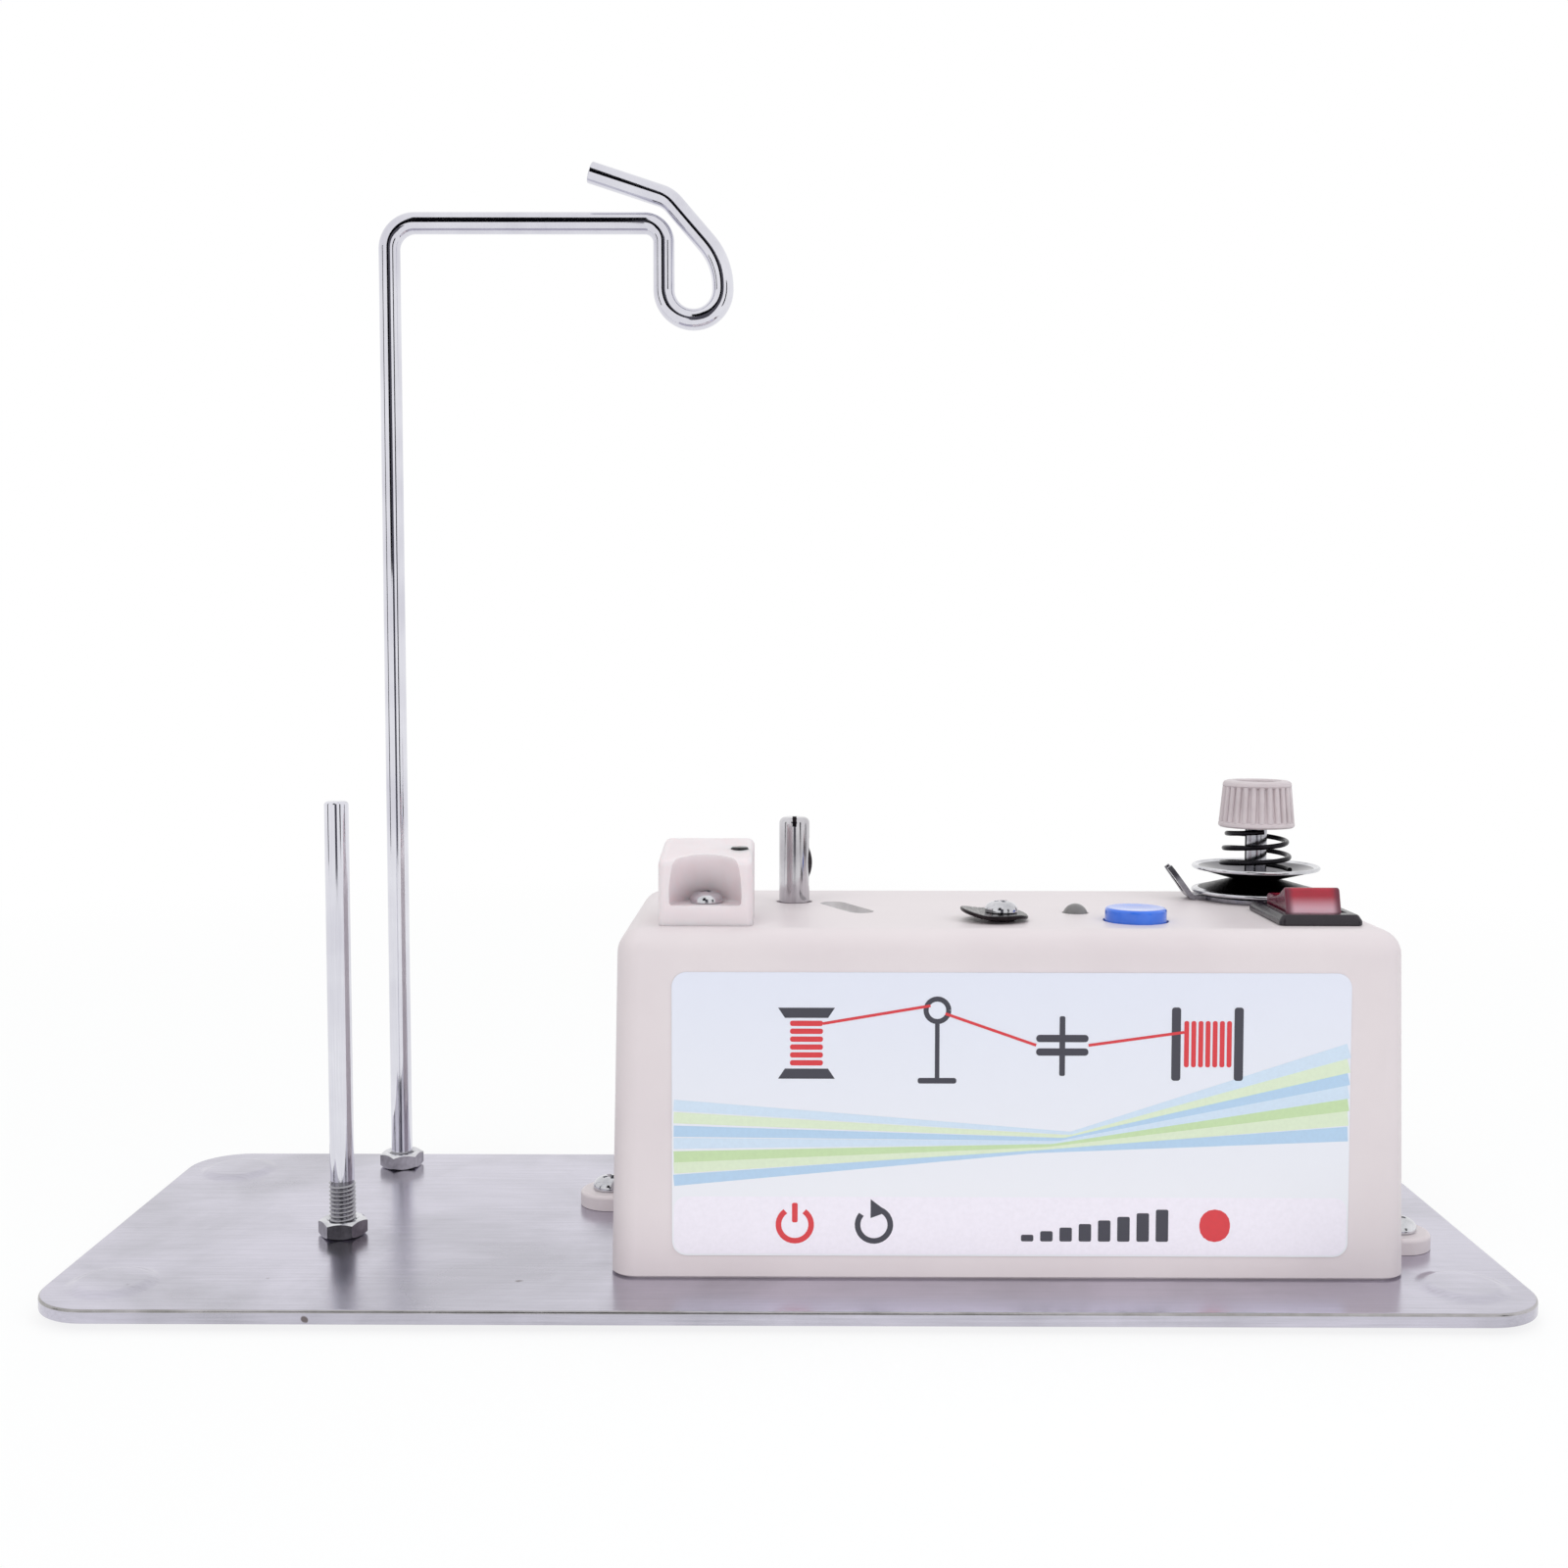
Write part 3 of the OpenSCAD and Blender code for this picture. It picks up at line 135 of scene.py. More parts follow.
# materials
# Cold-rolled stainless sheet, belt-polished along its length: pale bluish grey, long hair lines that
# smear reflections from front to back, handling stains and a few rust specks near the edge
def polishedSheet():
    look = {"hairMm": 0.35, "stainMm": 38, "speckMm": 5.5, "scoreMm": 0.0035, "markAt": (-81.1, -46.0, 1.9),
            "markR": (0.4, 1.9)}
    material, tree, shader, coords = startMaterial("stainless_sheet_belt_polished", "#c6c5cc", {"Metallic": 1.0})
    lined = addNode(tree, "ShaderNodeMapping", {"Vector": coords, "Scale": (0.02, 1.0, 1.0)})
    hair = addNode(tree, "ShaderNodeTexNoise", {     # real hair lines are 0.05 mm, drawn at 0.35 to show
        "Vector": lined.outputs[0], "Scale": 1000 / look["hairMm"], "Detail": 3.0, "Roughness": 0.65})
    stain = addNode(tree, "ShaderNodeTexNoise", {
        "Vector": coords, "Scale": 1000 / look["stainMm"], "Detail": 5.0, "Roughness": 0.6, "Distortion": 0.4})
    speck = addNode(tree, "ShaderNodeTexNoise", {"Vector": coords, "Scale": 1000 / look["speckMm"], "Detail": 2.0})
    share = addNode(tree, "ShaderNodeMapRange", {"Value": stain.outputs["Fac"], "From Min": 0.34, "From Max": 0.62})
    tint = addNode(tree, "ShaderNodeMix", {
        0: share.outputs[0], 6: toLinear("#b9b7c1"), 7: toLinear("#cecbd8")}, {"data_type": "RGBA"})
    lines = addNode(tree, "ShaderNodeMapRange", {
        "Value": hair.outputs["Fac"], "From Min": 0.3, "From Max": 0.7, "To Min": 0.9, "To Max": 1.04})
    brushed = addNode(tree, "ShaderNodeMix", {
        0: 1.0, 6: tint.outputs[2], 7: lines.outputs[0]}, {"data_type": "RGBA", "blend_type": "MULTIPLY"})
    markAway = addNode(tree, "ShaderNodeVectorMath", {
        0: coords, 1: Vector(look["markAt"]) * mm}, {"operation": "DISTANCE"})
    mark = addNode(tree, "ShaderNodeMapRange", {
        "Value": markAway.outputs["Value"], "From Min": look["markR"][0] * mm, "From Max": look["markR"][1] * mm,
        "To Min": 0.3, "To Max": 0.0})
    spots = addNode(tree, "ShaderNodeMath", {0: speck.outputs["Fac"], 1: mark.outputs[0]}, {"operation": "ADD"})
    rust = addNode(tree, "ShaderNodeMapRange", {
        "Value": spots.outputs[0], "From Min": 0.775, "From Max": 0.82, "To Min": 0.0, "To Max": 0.8})
    marked = addNode(tree, "ShaderNodeMix", {
        0: rust.outputs[0], 6: brushed.outputs[2], 7: toLinear("#54463f")}, {"data_type": "RGBA"})
    gloss = addNode(tree, "ShaderNodeMapRange", {
        "Value": stain.outputs["Fac"], "From Min": 0.3, "From Max": 0.7, "To Min": 0.29, "To Max": 0.19})
    dress(tree, shader, marked.outputs[2], gloss.outputs[0], hair.outputs["Fac"], look["scoreMm"])
    return material


laminate = {"Coat Weight": 0.25, "Coat Roughness": 0.25}     # clear film over the label and its print


# Printed polyester film: flat satin ground, a faint orange-peel from the laminate
def labelFilm():
    look = {"fadeMm": (20.0, 58.0), "peelMm": 1.2, "peelDeepMm": 0.004}
    material, tree, shader, coords = startMaterial("polyester_film_printed", "#e0dfeb", laminate)
    height = addNode(tree, "ShaderNodeSeparateXYZ", {0: coords})
    fade = addNode(tree, "ShaderNodeMapRange", {
        "Value": height.outputs["Z"], "From Min": look["fadeMm"][0] * mm, "From Max": look["fadeMm"][1] * mm})
    tint = addNode(tree, "ShaderNodeMix", {
        0: fade.outputs[0], 6: toLinear("#e9eaf0"), 7: toLinear("#e0e3f0")}, {"data_type": "RGBA"})
    peel = addNode(tree, "ShaderNodeTexNoise", {"Vector": coords, "Scale": 1000 / look["peelMm"], "Detail": 2.0})
    gloss = addNode(tree, "ShaderNodeMapRange", {
        "Value": peel.outputs["Fac"], "From Min": 0.3, "From Max": 0.7, "To Min": 0.34, "To Max": 0.46})
    dress(tree, shader, tint.outputs[2], gloss.outputs[0], peel.outputs["Fac"], look["peelDeepMm"])
    return material


# Screen-printed ink: each motif's colour is on its faces, with the screen's slight mottle
def screenInk():
    look = {"mottleMm": 0.7}
    material, tree, shader, coords = startMaterial("screen_printed_ink", "#808080", laminate)
    ink = addNode(tree, "ShaderNodeAttribute", {}, {"attribute_name": "ink"})
    mottle = addNode(tree, "ShaderNodeTexNoise", {"Vector": coords, "Scale": 1000 / look["mottleMm"], "Detail": 2.0})
    even = addNode(tree, "ShaderNodeMapRange", {
        "Value": mottle.outputs["Fac"], "From Min": 0.3, "From Max": 0.7, "To Min": 0.96, "To Max": 1.0})
    tint = addNode(tree, "ShaderNodeMix", {
        0: 1.0, 6: ink.outputs["Color"], 7: even.outputs[0]}, {"data_type": "RGBA", "blend_type": "MULTIPLY"})
    gloss = addNode(tree, "ShaderNodeMapRange", {
        "Value": mottle.outputs["Fac"], "From Min": 0.3, "From Max": 0.7, "To Min": 0.34, "To Max": 0.44})
    dress(tree, shader, tint.outputs[2], gloss.outputs[0])
    return material


# Polycarbonate, moulded clear red: painted shade darkens its side edges, and a painted reflection pales the raised
# front towards its foot, under a hard gloss
def clearRed():
    look = {"glareZ": (70.6, 67.6), "glareY": (-3.4, -5.0), "edgeShadeX": (3.3, 4.6), "cloudMm": 4}
    material, tree, shader, coords = startMaterial("polycarbonate_moulded_red", "#b8122f", {
        "Coat Weight": 0.25, "Coat Roughness": 0.06, "Subsurface Weight": 0.12,
        "Subsurface Radius": (0.002, 0.0004, 0.0004), "Subsurface Scale": 1.0})
    axes = addNode(tree, "ShaderNodeSeparateXYZ", {0: coords})
    rx, ry = place["rocker"][0] * mm, place["rocker"][1] * mm
    # painted reflection: the raised front pales towards its foot
    foot = addNode(tree, "ShaderNodeMapRange", {
        "Value": axes.outputs["Z"], "From Min": look["glareZ"][0] * mm, "From Max": look["glareZ"][1] * mm,
        "To Min": 0.0, "To Max": 0.85}, {"interpolation_type": "SMOOTHSTEP"})
    front = addNode(tree, "ShaderNodeMapRange", {
        "Value": axes.outputs["Y"], "From Min": ry + look["glareY"][0] * mm, "From Max": ry + look["glareY"][1] * mm})
    pale = addNode(tree, "ShaderNodeMath", {0: foot.outputs[0], 1: front.outputs[0]}, {"operation": "MULTIPLY"})
    offset = addNode(tree, "ShaderNodeMath", {0: axes.outputs["X"], 1: rx}, {"operation": "SUBTRACT"})
    aside = addNode(tree, "ShaderNodeMath", {0: offset.outputs[0]}, {"operation": "ABSOLUTE"})
    # painted shade along the key's side edges
    edge = addNode(tree, "ShaderNodeMapRange", {
        "Value": aside.outputs[0], "From Min": look["edgeShadeX"][0] * mm, "From Max": look["edgeShadeX"][1] * mm,
        "To Min": 0.0, "To Max": 0.9}, {"interpolation_type": "SMOOTHSTEP"})
    cloud = addNode(tree, "ShaderNodeTexNoise", {"Vector": coords, "Scale": 1000 / look["cloudMm"], "Detail": 3.0})
    body = addNode(tree, "ShaderNodeMix", {
        0: cloud.outputs["Fac"], 6: toLinear("#930a25"), 7: toLinear("#b31433")}, {"data_type": "RGBA"})
    glared = addNode(tree, "ShaderNodeMix", {
        0: pale.outputs[0], 6: body.outputs[2], 7: toLinear("#e6bccb")}, {"data_type": "RGBA"})
    edgeShaded = addNode(tree, "ShaderNodeMix", {
        0: edge.outputs[0], 6: glared.outputs[2], 7: toLinear("#5d1330")}, {"data_type": "RGBA"})
    gloss = addNode(tree, "ShaderNodeMapRange", {
        "Value": cloud.outputs["Fac"], "From Min": 0.3, "From Max": 0.7, "To Min": 0.12, "To Max": 0.20})
    dress(tree, shader, edgeShaded.outputs[2], gloss.outputs[0])
    return material


finish = {
    "plate": polishedSheet(),
    "film": labelFilm(),
    "ink": screenInk(),
    # ABS, moulded in an etched tool: warm pinkish white, soft broad gloss, fine grain
    "housing": mouldedFinish("abs_moulded_warm_white", "#e1d8da", "#dbd1d4", 0.42, 0.05, 0.5, 0.006, 26,
                             {"Specular IOR Level": 0.45}),
    # the same ABS down in the oblong pocket, drawn grey as painted shade
    "slotShade": mouldedFinish("abs_moulded_painted_shade_grey", "#d8d5d6", "#c9c6c7", 0.6, 0.05, 0.5, 0.006, 4),
    # the block's thicker ABS, drawn a shade lighter than the housing's as painted light that lifts its shaded front and
    # pocket; light goes a few millimetres in, so its pocket glows a little
    "block": mouldedFinish("abs_moulded_warm_white_block_lit", "#e8dee1", "#e2d7da", 0.45, 0.05, 0.5, 0.006, 9, {
        "Subsurface Weight": 0.5, "Subsurface Radius": (0.004, 0.003, 0.003), "Subsurface Scale": 1.0}),
    # the sheet's sheared and brushed edge: duller and darker than its face
    "plateEdge": metalFinish("stainless_sheet_sheared_edge", "#bdbabd", "#979593", 0.24, 0.06, 0.4, (0.05, 1, 1),
                             0.002, 7),
    # mild steel wire, drawn and chrome plated: hard bright lines along it, faint draw marks
    "rod": metalFinish("steel_wire_chrome_plated", "#e2e2e9", "#cfced8", 0.07, 0.02, 0.25, (1, 1, 0.02), 0.0002),
    # steel, thread rolled: dull grey flanks, darkened as painted shade for the shade in the grooves
    "thread": metalFinish("steel_thread_rolled", "#a5a4aa", "#77767c", 0.22, 0.05, 0.3, (1, 1, 1), 0.0008),
    # steel, zinc plated: bluish faces with a slightly clouded gloss, darkened as painted shade for the rod nuts' sides
    "nut": metalFinish("steel_nut_zinc_plated", "#bab7bc", "#87848a", 0.11, 0.03, 0.35, (1, 1, 0.4), 0.0006, 3),
    # steel, nickel plated: the brightest metal here, warm white with dark crosses; also lent as a painted highlight to
    # the nuts' tops and the discs' hems
    "screw": metalFinish("steel_screw_nickel_plated", "#dedee2", "#bcbcc1", 0.13, 0.04, 0.3, (1, 1, 1), 0.0005, 4),
    # carbon steel, drawn and polished: streaks of light and dark along it
    "spindle": metalFinish("carbon_steel_drawn_polished", "#d3d1d5", "#aeabb0", 0.10, 0.03, 0.5, (1, 1, 0.02),
                           0.0003, 9),
    # spring steel, tempered: blue-black, with a dull shine along the leaf
    "leaf": metalFinish("spring_steel_blued", "#565154", "#373235", 0.24, 0.05, 0.3, (1, 1, 0.1), 0.0008, 5),
    # spring steel, blackened in oil: near black with a soft metallic sheen
    "spring": metalFinish("spring_wire_blackened", "#2b2a2e", "#18171a", 0.28, 0.06, 0.3, (1, 1, 1), 0.0008, 4),
    # spring steel sheet, blackened: brown-black, rubbed a little across
    "cutter": metalFinish("spring_steel_blackened", "#332d30", "#1c181a", 0.26, 0.07, 0.4, (1, 0.15, 1), 0.001, 5),
    # sheet steel, pressed and barrel polished: mirror-like, its colour darkened as painted shade for the dark
    # reflections in the dish; its bright rims are a painted highlight
    "disc": metalFinish("sheet_steel_barrel_polished", "#6c6a70", "#4a484e", 0.12, 0.03, 0.4, (1, 1, 1), 0.0005, 8),
    # painted shade on the discs' running faces, where they face each other: the steel drawn nearly black
    "discPaintedShade": metalFinish("sheet_steel_painted_shade_dark", "#2f2a30", "#1b181c", 0.34, 0.08, 0.4, (1, 1, 1), 0.002, 5),
    # sheet steel, zinc plated and handled: middle grey, soft reflections
    "bracket": metalFinish("sheet_steel_zinc_dull", "#9b9aa1", "#77757c", 0.24, 0.06, 0.4, (0.3, 1, 1), 0.001, 6),
    # steel, turned: fine rings round it scatter the light up and down
    "post": metalFinish("steel_post_turned", "#c0c0c6", "#908f96", 0.16, 0.05, 0.2, (0.05, 0.05, 1), 0.0008, 4),
    # nylon, moulded grey: dry, low gloss
    "thumbNut": mouldedFinish("nylon_moulded_grey", "#d3c9cc", "#c6bbbe", 0.48, 0.06, 0.4, 0.008, 5),
    # ABS, moulded blue: deep clear colour, a little glossier where fingers rub it
    "button": mouldedFinish("abs_moulded_blue", "#3476ea", "#2766d8", 0.13, 0.04, 0.4, 0.001, 6,
                            {"Coat Weight": 0.5, "Coat Roughness": 0.05}),
    # nylon, moulded black in a spark-eroded tool: fine even grain that softens the highlights
    "bezel": mouldedFinish("nylon_moulded_black", "#241d26", "#1b151d", 0.24, 0.05, 0.35, 0.003, 6),
    "rocker": clearRed(),
    # epoxy, cast in smoke grey: a waxy dome
    "led": mouldedFinish("epoxy_cast_smoke_grey", "#7f7d7d", "#6a6868", 0.22, 0.05, 0.6, 0.002, 4, {
        "Subsurface Weight": 0.2, "Subsurface Radius": (0.001, 0.001, 0.001), "Subsurface Scale": 1.0}),
    # epoxy that lets only infrared through: glossy black to the eye
    "eye": mouldedFinish("epoxy_cast_infrared_black", "#1a171c", "#120f14", 0.14, 0.04, 0.6, 0.001, 3),
    # rubber, moulded: dull black, dusty
    "rubber": mouldedFinish("rubber_moulded_black", "#2a2a2c", "#212123", 0.72, 0.06, 0.5, 0.02, 8),
    # nylon again, from a plainer mould: half matt black
    "inlet": mouldedFinish("nylon_moulded_inlet_black", "#1f1e20", "#171618", 0.46, 0.06, 0.35, 0.008, 6),
    # inside pieces
    # bronze, sintered: oily brown with open pores
    "bronze": metalFinish("bronze_sintered", "#b08a52", "#8a6a3c", 0.38, 0.08, 0.25, (1, 1, 1), 0.01, 4),
    # steel can, drawn and zinc plated: plain bluish grey, soft upright streaks
    "motor": metalFinish("steel_can_zinc_plated", "#a7a9ae", "#8b8c92", 0.30, 0.06, 0.4, (1, 1, 0.1), 0.004, 10),
    # nylon, moulded undyed: milky cream
    "nylon": mouldedFinish("nylon_moulded_natural", "#e4e0d6", "#d8d3c6", 0.5, 0.05, 0.4, 0.006, 6),
    # brass, stamped from rolled strip: dull yellow with fine lines
    "brass": metalFinish("brass_tab_stamped", "#c8a860", "#9f8244", 0.30, 0.06, 0.3, (1, 0.2, 1), 0.003, 4),
    # glass-epoxy sheet under a green mask: even satin green, slightly rippled by the glass cloth
    "board": mouldedFinish("glass_epoxy_green_mask", "#2c6a45", "#235838", 0.36, 0.06, 0.9, 0.01, 7),
}
print("materials:", len(finish))


# form helpers: each adds a closed shell to a bmesh, sizes in mm
def addLoft(form, loops, closed=False):
    rows = [[form.verts.new(Vector(p) * mm) for p in loop] for loop in loops]
    for low, high in zip(rows, rows[1:] + (rows[:1] if closed else [])):
        count = max(len(low), len(high))
        for k in range(count):
            n = (k + 1) % count
            if len(low) == 1:
                corners = [low[0], high[n], high[k]]
            elif len(high) == 1:
                corners = [low[k], low[n], high[0]]
            else:
                corners = [low[k], low[n], high[n], high[k]]
            form.faces.new(corners)
    for end in () if closed else (rows[0][::-1], rows[-1]):
        if len(end) > 2:
            form.faces.new(end)


def sweep(a0, a1, steps):     # even steps from a0 to a1, both among them
    return [a0 + (a1 - a0) * k / steps for k in range(steps + 1)]


def arcPoints(centre, r, a0, a1, steps):
    return [(centre[0] + r * cos(a), centre[1] + r * sin(a)) for a in sweep(a0, a1, steps)]


def atLevel(outline, z):
    return [(p[0], p[1], z) for p in outline]


def turned(loops, spin):
    return [[spin @ Vector(p) for p in loop] for loop in loops] if spin else loops


def addLathe(form, profile, centre=(0, 0), steps=64, closed=False, spin=None):
    loops = []
    for r, z in profile:     # a ring of no radius is one point
        loops.append(atLevel(arcPoints(centre, r, 0, 2 * pi, steps)[:-1] if r > 1e-6 else [centre], z))
    addLoft(form, turned(loops, spin), closed)


# a plain cylinder; nose is how far and how high its low end is chamfered
def addRod(form, r, low, high, centre=(0, 0), steps=32, spin=None, nose=None):
    foot = [(r - nose[0], low), (r, low + nose[1])] if nose else [(r, low)]
    addLathe(form, [(0, low)] + foot + [(r, high), (0, high)], centre, steps, spin=spin)


# rounds each corner of an outline with an arc
def roundOutline(points, radii, steps=5):
    out = []
    for i, p in enumerate(points):
        p, a, b = Vector(p), Vector(points[i - 1]), Vector(points[(i + 1) % len(points)])
        r = radii[i] if isinstance(radii, (list, tuple)) else radii
        u, v = (a - p).normalized(), (b - p).normalized()
        turn = acos(max(-1, min(1, u.dot(v))))
        if r <= 0 or turn > pi - 0.02:
            out.append(p)
            continue
        reach = min(r / tan(turn / 2), 0.49 * (a - p).length, 0.49 * (b - p).length)
        r = reach * tan(turn / 2)
        middle = p + (u + v).normalized() * (r / sin(turn / 2))
        start, end = p + u * reach - middle, p + v * reach - middle
        first = atan2(start.y, start.x)
        out += [middle + Vector((cos(a), sin(a))) * r for a in sweep(first, first - start.angle_signed(end), steps)]
    return out


def rectangle(low, high):
    return [(low[0], low[1]), (high[0], low[1]), (high[0], high[1]), (low[0], high[1])]


def roundRect(w, d, r, centre=(0, 0), steps=8):
    corners = rectangle((-w / 2, -d / 2), (w / 2, d / 2))
    return [p + Vector(centre) for p in roundOutline(corners, r, steps)]


def insetLoop(points, distance):
    out = []
    for i, p in enumerate(points):
        a, b = p - points[i - 1], points[(i + 1) % len(points)] - p
        na, nb = Vector((-a.y, a.x)).normalized(), Vector((-b.y, b.x)).normalized()
        out.append(p + (na + nb) / max(1 + na.dot(nb), 0.3) * distance)
    return out


# a flat piece of the outline from z0 to z1, its low and high edges rounded
def addSlab(form, outline, z0, z1, low=0.0, high=0.0, steps=4, spin=None):
    outline = [Vector(p) for p in outline]
    loops = []
    for edge, z, way in ((low, z0, 1), (high, z1, -1)):
        arc = [atLevel(insetLoop(outline, edge * (1 - sin(a))), z + way * edge * (1 - cos(a)))
               for a in (sweep(0, pi / 2, steps) if edge else [0])]
        loops += arc[::way]
    addLoft(form, turned(loops, spin))


def addBox(form, low, high):
    addLoft(form, [atLevel(rectangle(low, high), z) for z in (low[2], high[2])])


def meshFrom(form, name, merge=0.0005, outward=True):
    if merge:
        bmesh.ops.remove_doubles(form, verts=form.verts, dist=merge * mm)
    if outward:
        bmesh.ops.recalc_face_normals(form, faces=form.faces)
    mesh = bpy.data.meshes.new(name)
    form.to_mesh(mesh)
    form.free()
    return mesh


def linkObject(name, mesh):
    obj = bpy.data.objects.new(name, mesh)
    scene.collection.objects.link(obj)
    return obj


def bakeModifiers(obj):
    graph = bpy.context.evaluated_depsgraph_get()
    mesh = bpy.data.meshes.new_from_object(obj.evaluated_get(graph), depsgraph=graph)
    obj.modifiers.clear()
    obj.data = mesh
    return mesh


# joins points that a cut or a rounding left on top of each other
def cleanMesh(mesh, merge=0.002):
    form = bmesh.new()
    form.from_mesh(mesh)
    bmesh.ops.remove_doubles(form, verts=form.verts, dist=merge * mm)
    bmesh.ops.dissolve_degenerate(form, edges=form.edges, dist=merge * mm)
    form.to_mesh(mesh)
    form.free()


def cutAway(mesh, cutters, name):
    solid = linkObject(name, mesh)
    tool = linkObject(name + "_cutter", meshFrom(cutters, name + "_cutter"))
    cut = solid.modifiers.new("cut", "BOOLEAN")
    cut.operation, cut.solver, cut.object, cut.use_self = "DIFFERENCE", "EXACT", tool, True
    result = bakeModifiers(solid)
    cleanMesh(result)
    bpy.data.objects.remove(solid)
    bpy.data.objects.remove(tool)
    return result


# turns a mesh into a finished piece: smooth with sharp edges, flat faces kept flat, on its body and for its nodes
def addPiece(name, mesh, body, material, nodes=(), sharp=38, bevel=0.0, segments=3, other=(), where=None):
    obj = linkObject(name, mesh)
    mesh.materials.clear()
    mesh.materials.append(finish[material])
    if bevel:
        edge = obj.modifiers.new("edge", "BEVEL")
        edge.width, edge.segments, edge.limit_method, edge.angle_limit = bevel * mm, segments, "ANGLE", radians(50)
        mesh = bakeModifiers(obj)
        cleanMesh(mesh)
    mesh.polygons.foreach_set("use_smooth", [True] * len(mesh.polygons))
    mesh.set_sharp_from_angle(angle=radians(sharp))
    even = obj.modifiers.new("even", "WEIGHTED_NORMAL")
    even.mode, even.keep_sharp, even.weight = "FACE_AREA_WITH_ANGLE", True, 80
    bakeModifiers(obj)
    obj.data.name = name
    for kind in other:
        obj.data.materials.append(finish[kind])
    if where:     # which of these finishes a face takes, 0 for the main one
        for face in obj.data.polygons:
            face.material_index = int(where(face.center / mm, face.normal))
    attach(obj, body)
    if nodes:
        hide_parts(*nodes)
    return obj


# geometry-node trees
def newTree(name, inputs):
    tree = bpy.data.node_groups.new(name, "GeometryNodeTree")
    ids = {}
    for label, kind in inputs.items():
        ids[label] = tree.interface.new_socket(label, in_out="INPUT", socket_type="NodeSocket" + kind).identifier
    tree.interface.new_socket("Geometry", in_out="OUTPUT", socket_type="NodeSocketGeometry")
    return tree, ids, tree.nodes.new("NodeGroupInput").outputs


def endTree(tree, geometry, material):
    real = addNode(tree, "GeometryNodeRealizeInstances", {0: geometry})
    smooth = addNode(tree, "GeometryNodeSetShadeSmooth", {0: real.outputs[0]})
    coat = addNode(tree, "GeometryNodeSetMaterial", {"Geometry": smooth.outputs[0], "Material": material})
    addNode(tree, "NodeGroupOutput", {0: coat.outputs[0]})


# wire that follows a path of points
def wireTree():
    tree, ids, given = newTree("bentWire", {
        "Path": "Geometry", "Wire radius": "Float", "Sides": "Int", "Finish": "Material"})
    line = addNode(tree, "GeometryNodeMeshToCurve", {0: given["Path"]})
    ring = addNode(tree, "GeometryNodeCurvePrimitiveCircle", {
        "Resolution": given["Sides"], "Radius": given["Wire radius"]})
    tube = addNode(tree, "GeometryNodeCurveToMesh", {
        "Curve": line.outputs[0], "Profile Curve": ring.outputs["Curve"], "Fill Caps": True})
    endTree(tree, tube.outputs[0], given["Finish"])
    return tree, ids


# helix of wire: coil springs, and with a four-sided wire the ridge of a screw thread
def coilTree():
    tree, ids, given = newTree("coil", {
        "Low radius": "Float", "High radius": "Float", "Turns": "Float", "Height": "Float", "Steps a turn": "Int",
        "Wire radius": "Float", "Wire sides": "Int", "Finish": "Material"})
    helix = addNode(tree, "GeometryNodeCurveSpiral", {
        "Resolution": given["Steps a turn"], "Rotations": given["Turns"], "Start Radius": given["Low radius"],
        "End Radius": given["High radius"], "Height": given["Height"], "Reverse": True})
    upright = addNode(tree, "GeometryNodeSetCurveNormal", {"Curve": helix.outputs[0]}, {"mode": "Z_UP"})
    ring = addNode(tree, "GeometryNodeCurvePrimitiveCircle", {
        "Resolution": given["Wire sides"], "Radius": given["Wire radius"]})
    tube = addNode(tree, "GeometryNodeCurveToMesh", {
        "Curve": upright.outputs[0], "Profile Curve": ring.outputs["Curve"], "Fill Caps": True})
    endTree(tree, tube.outputs[0], given["Finish"])
    return tree, ids


# one shape set on every point of a mesh, turned and sized by the point's own attributes
def scatterTree():
    tree, ids, given = newTree("setOnPoints", {"Points": "Geometry", "Shape": "Object", "Finish": "Material"})
    shape = addNode(tree, "GeometryNodeObjectInfo", {"Object": given["Shape"]})
    turn = addNode(tree, "GeometryNodeInputNamedAttribute", {"Name": "turn"}, {"data_type": "FLOAT"})
    size = addNode(tree, "GeometryNodeInputNamedAttribute", {"Name": "size"}, {"data_type": "FLOAT"})
    about = addNode(tree, "ShaderNodeCombineXYZ", {"Z": turn.outputs[0]})
    spread = addNode(tree, "GeometryNodeInstanceOnPoints", {
        "Points": given["Points"], "Instance": shape.outputs["Geometry"], "Rotation": about.outputs[0],
        "Scale": size.outputs[0]})
    endTree(tree, spread.outputs[0], given["Finish"])
    return tree, ids


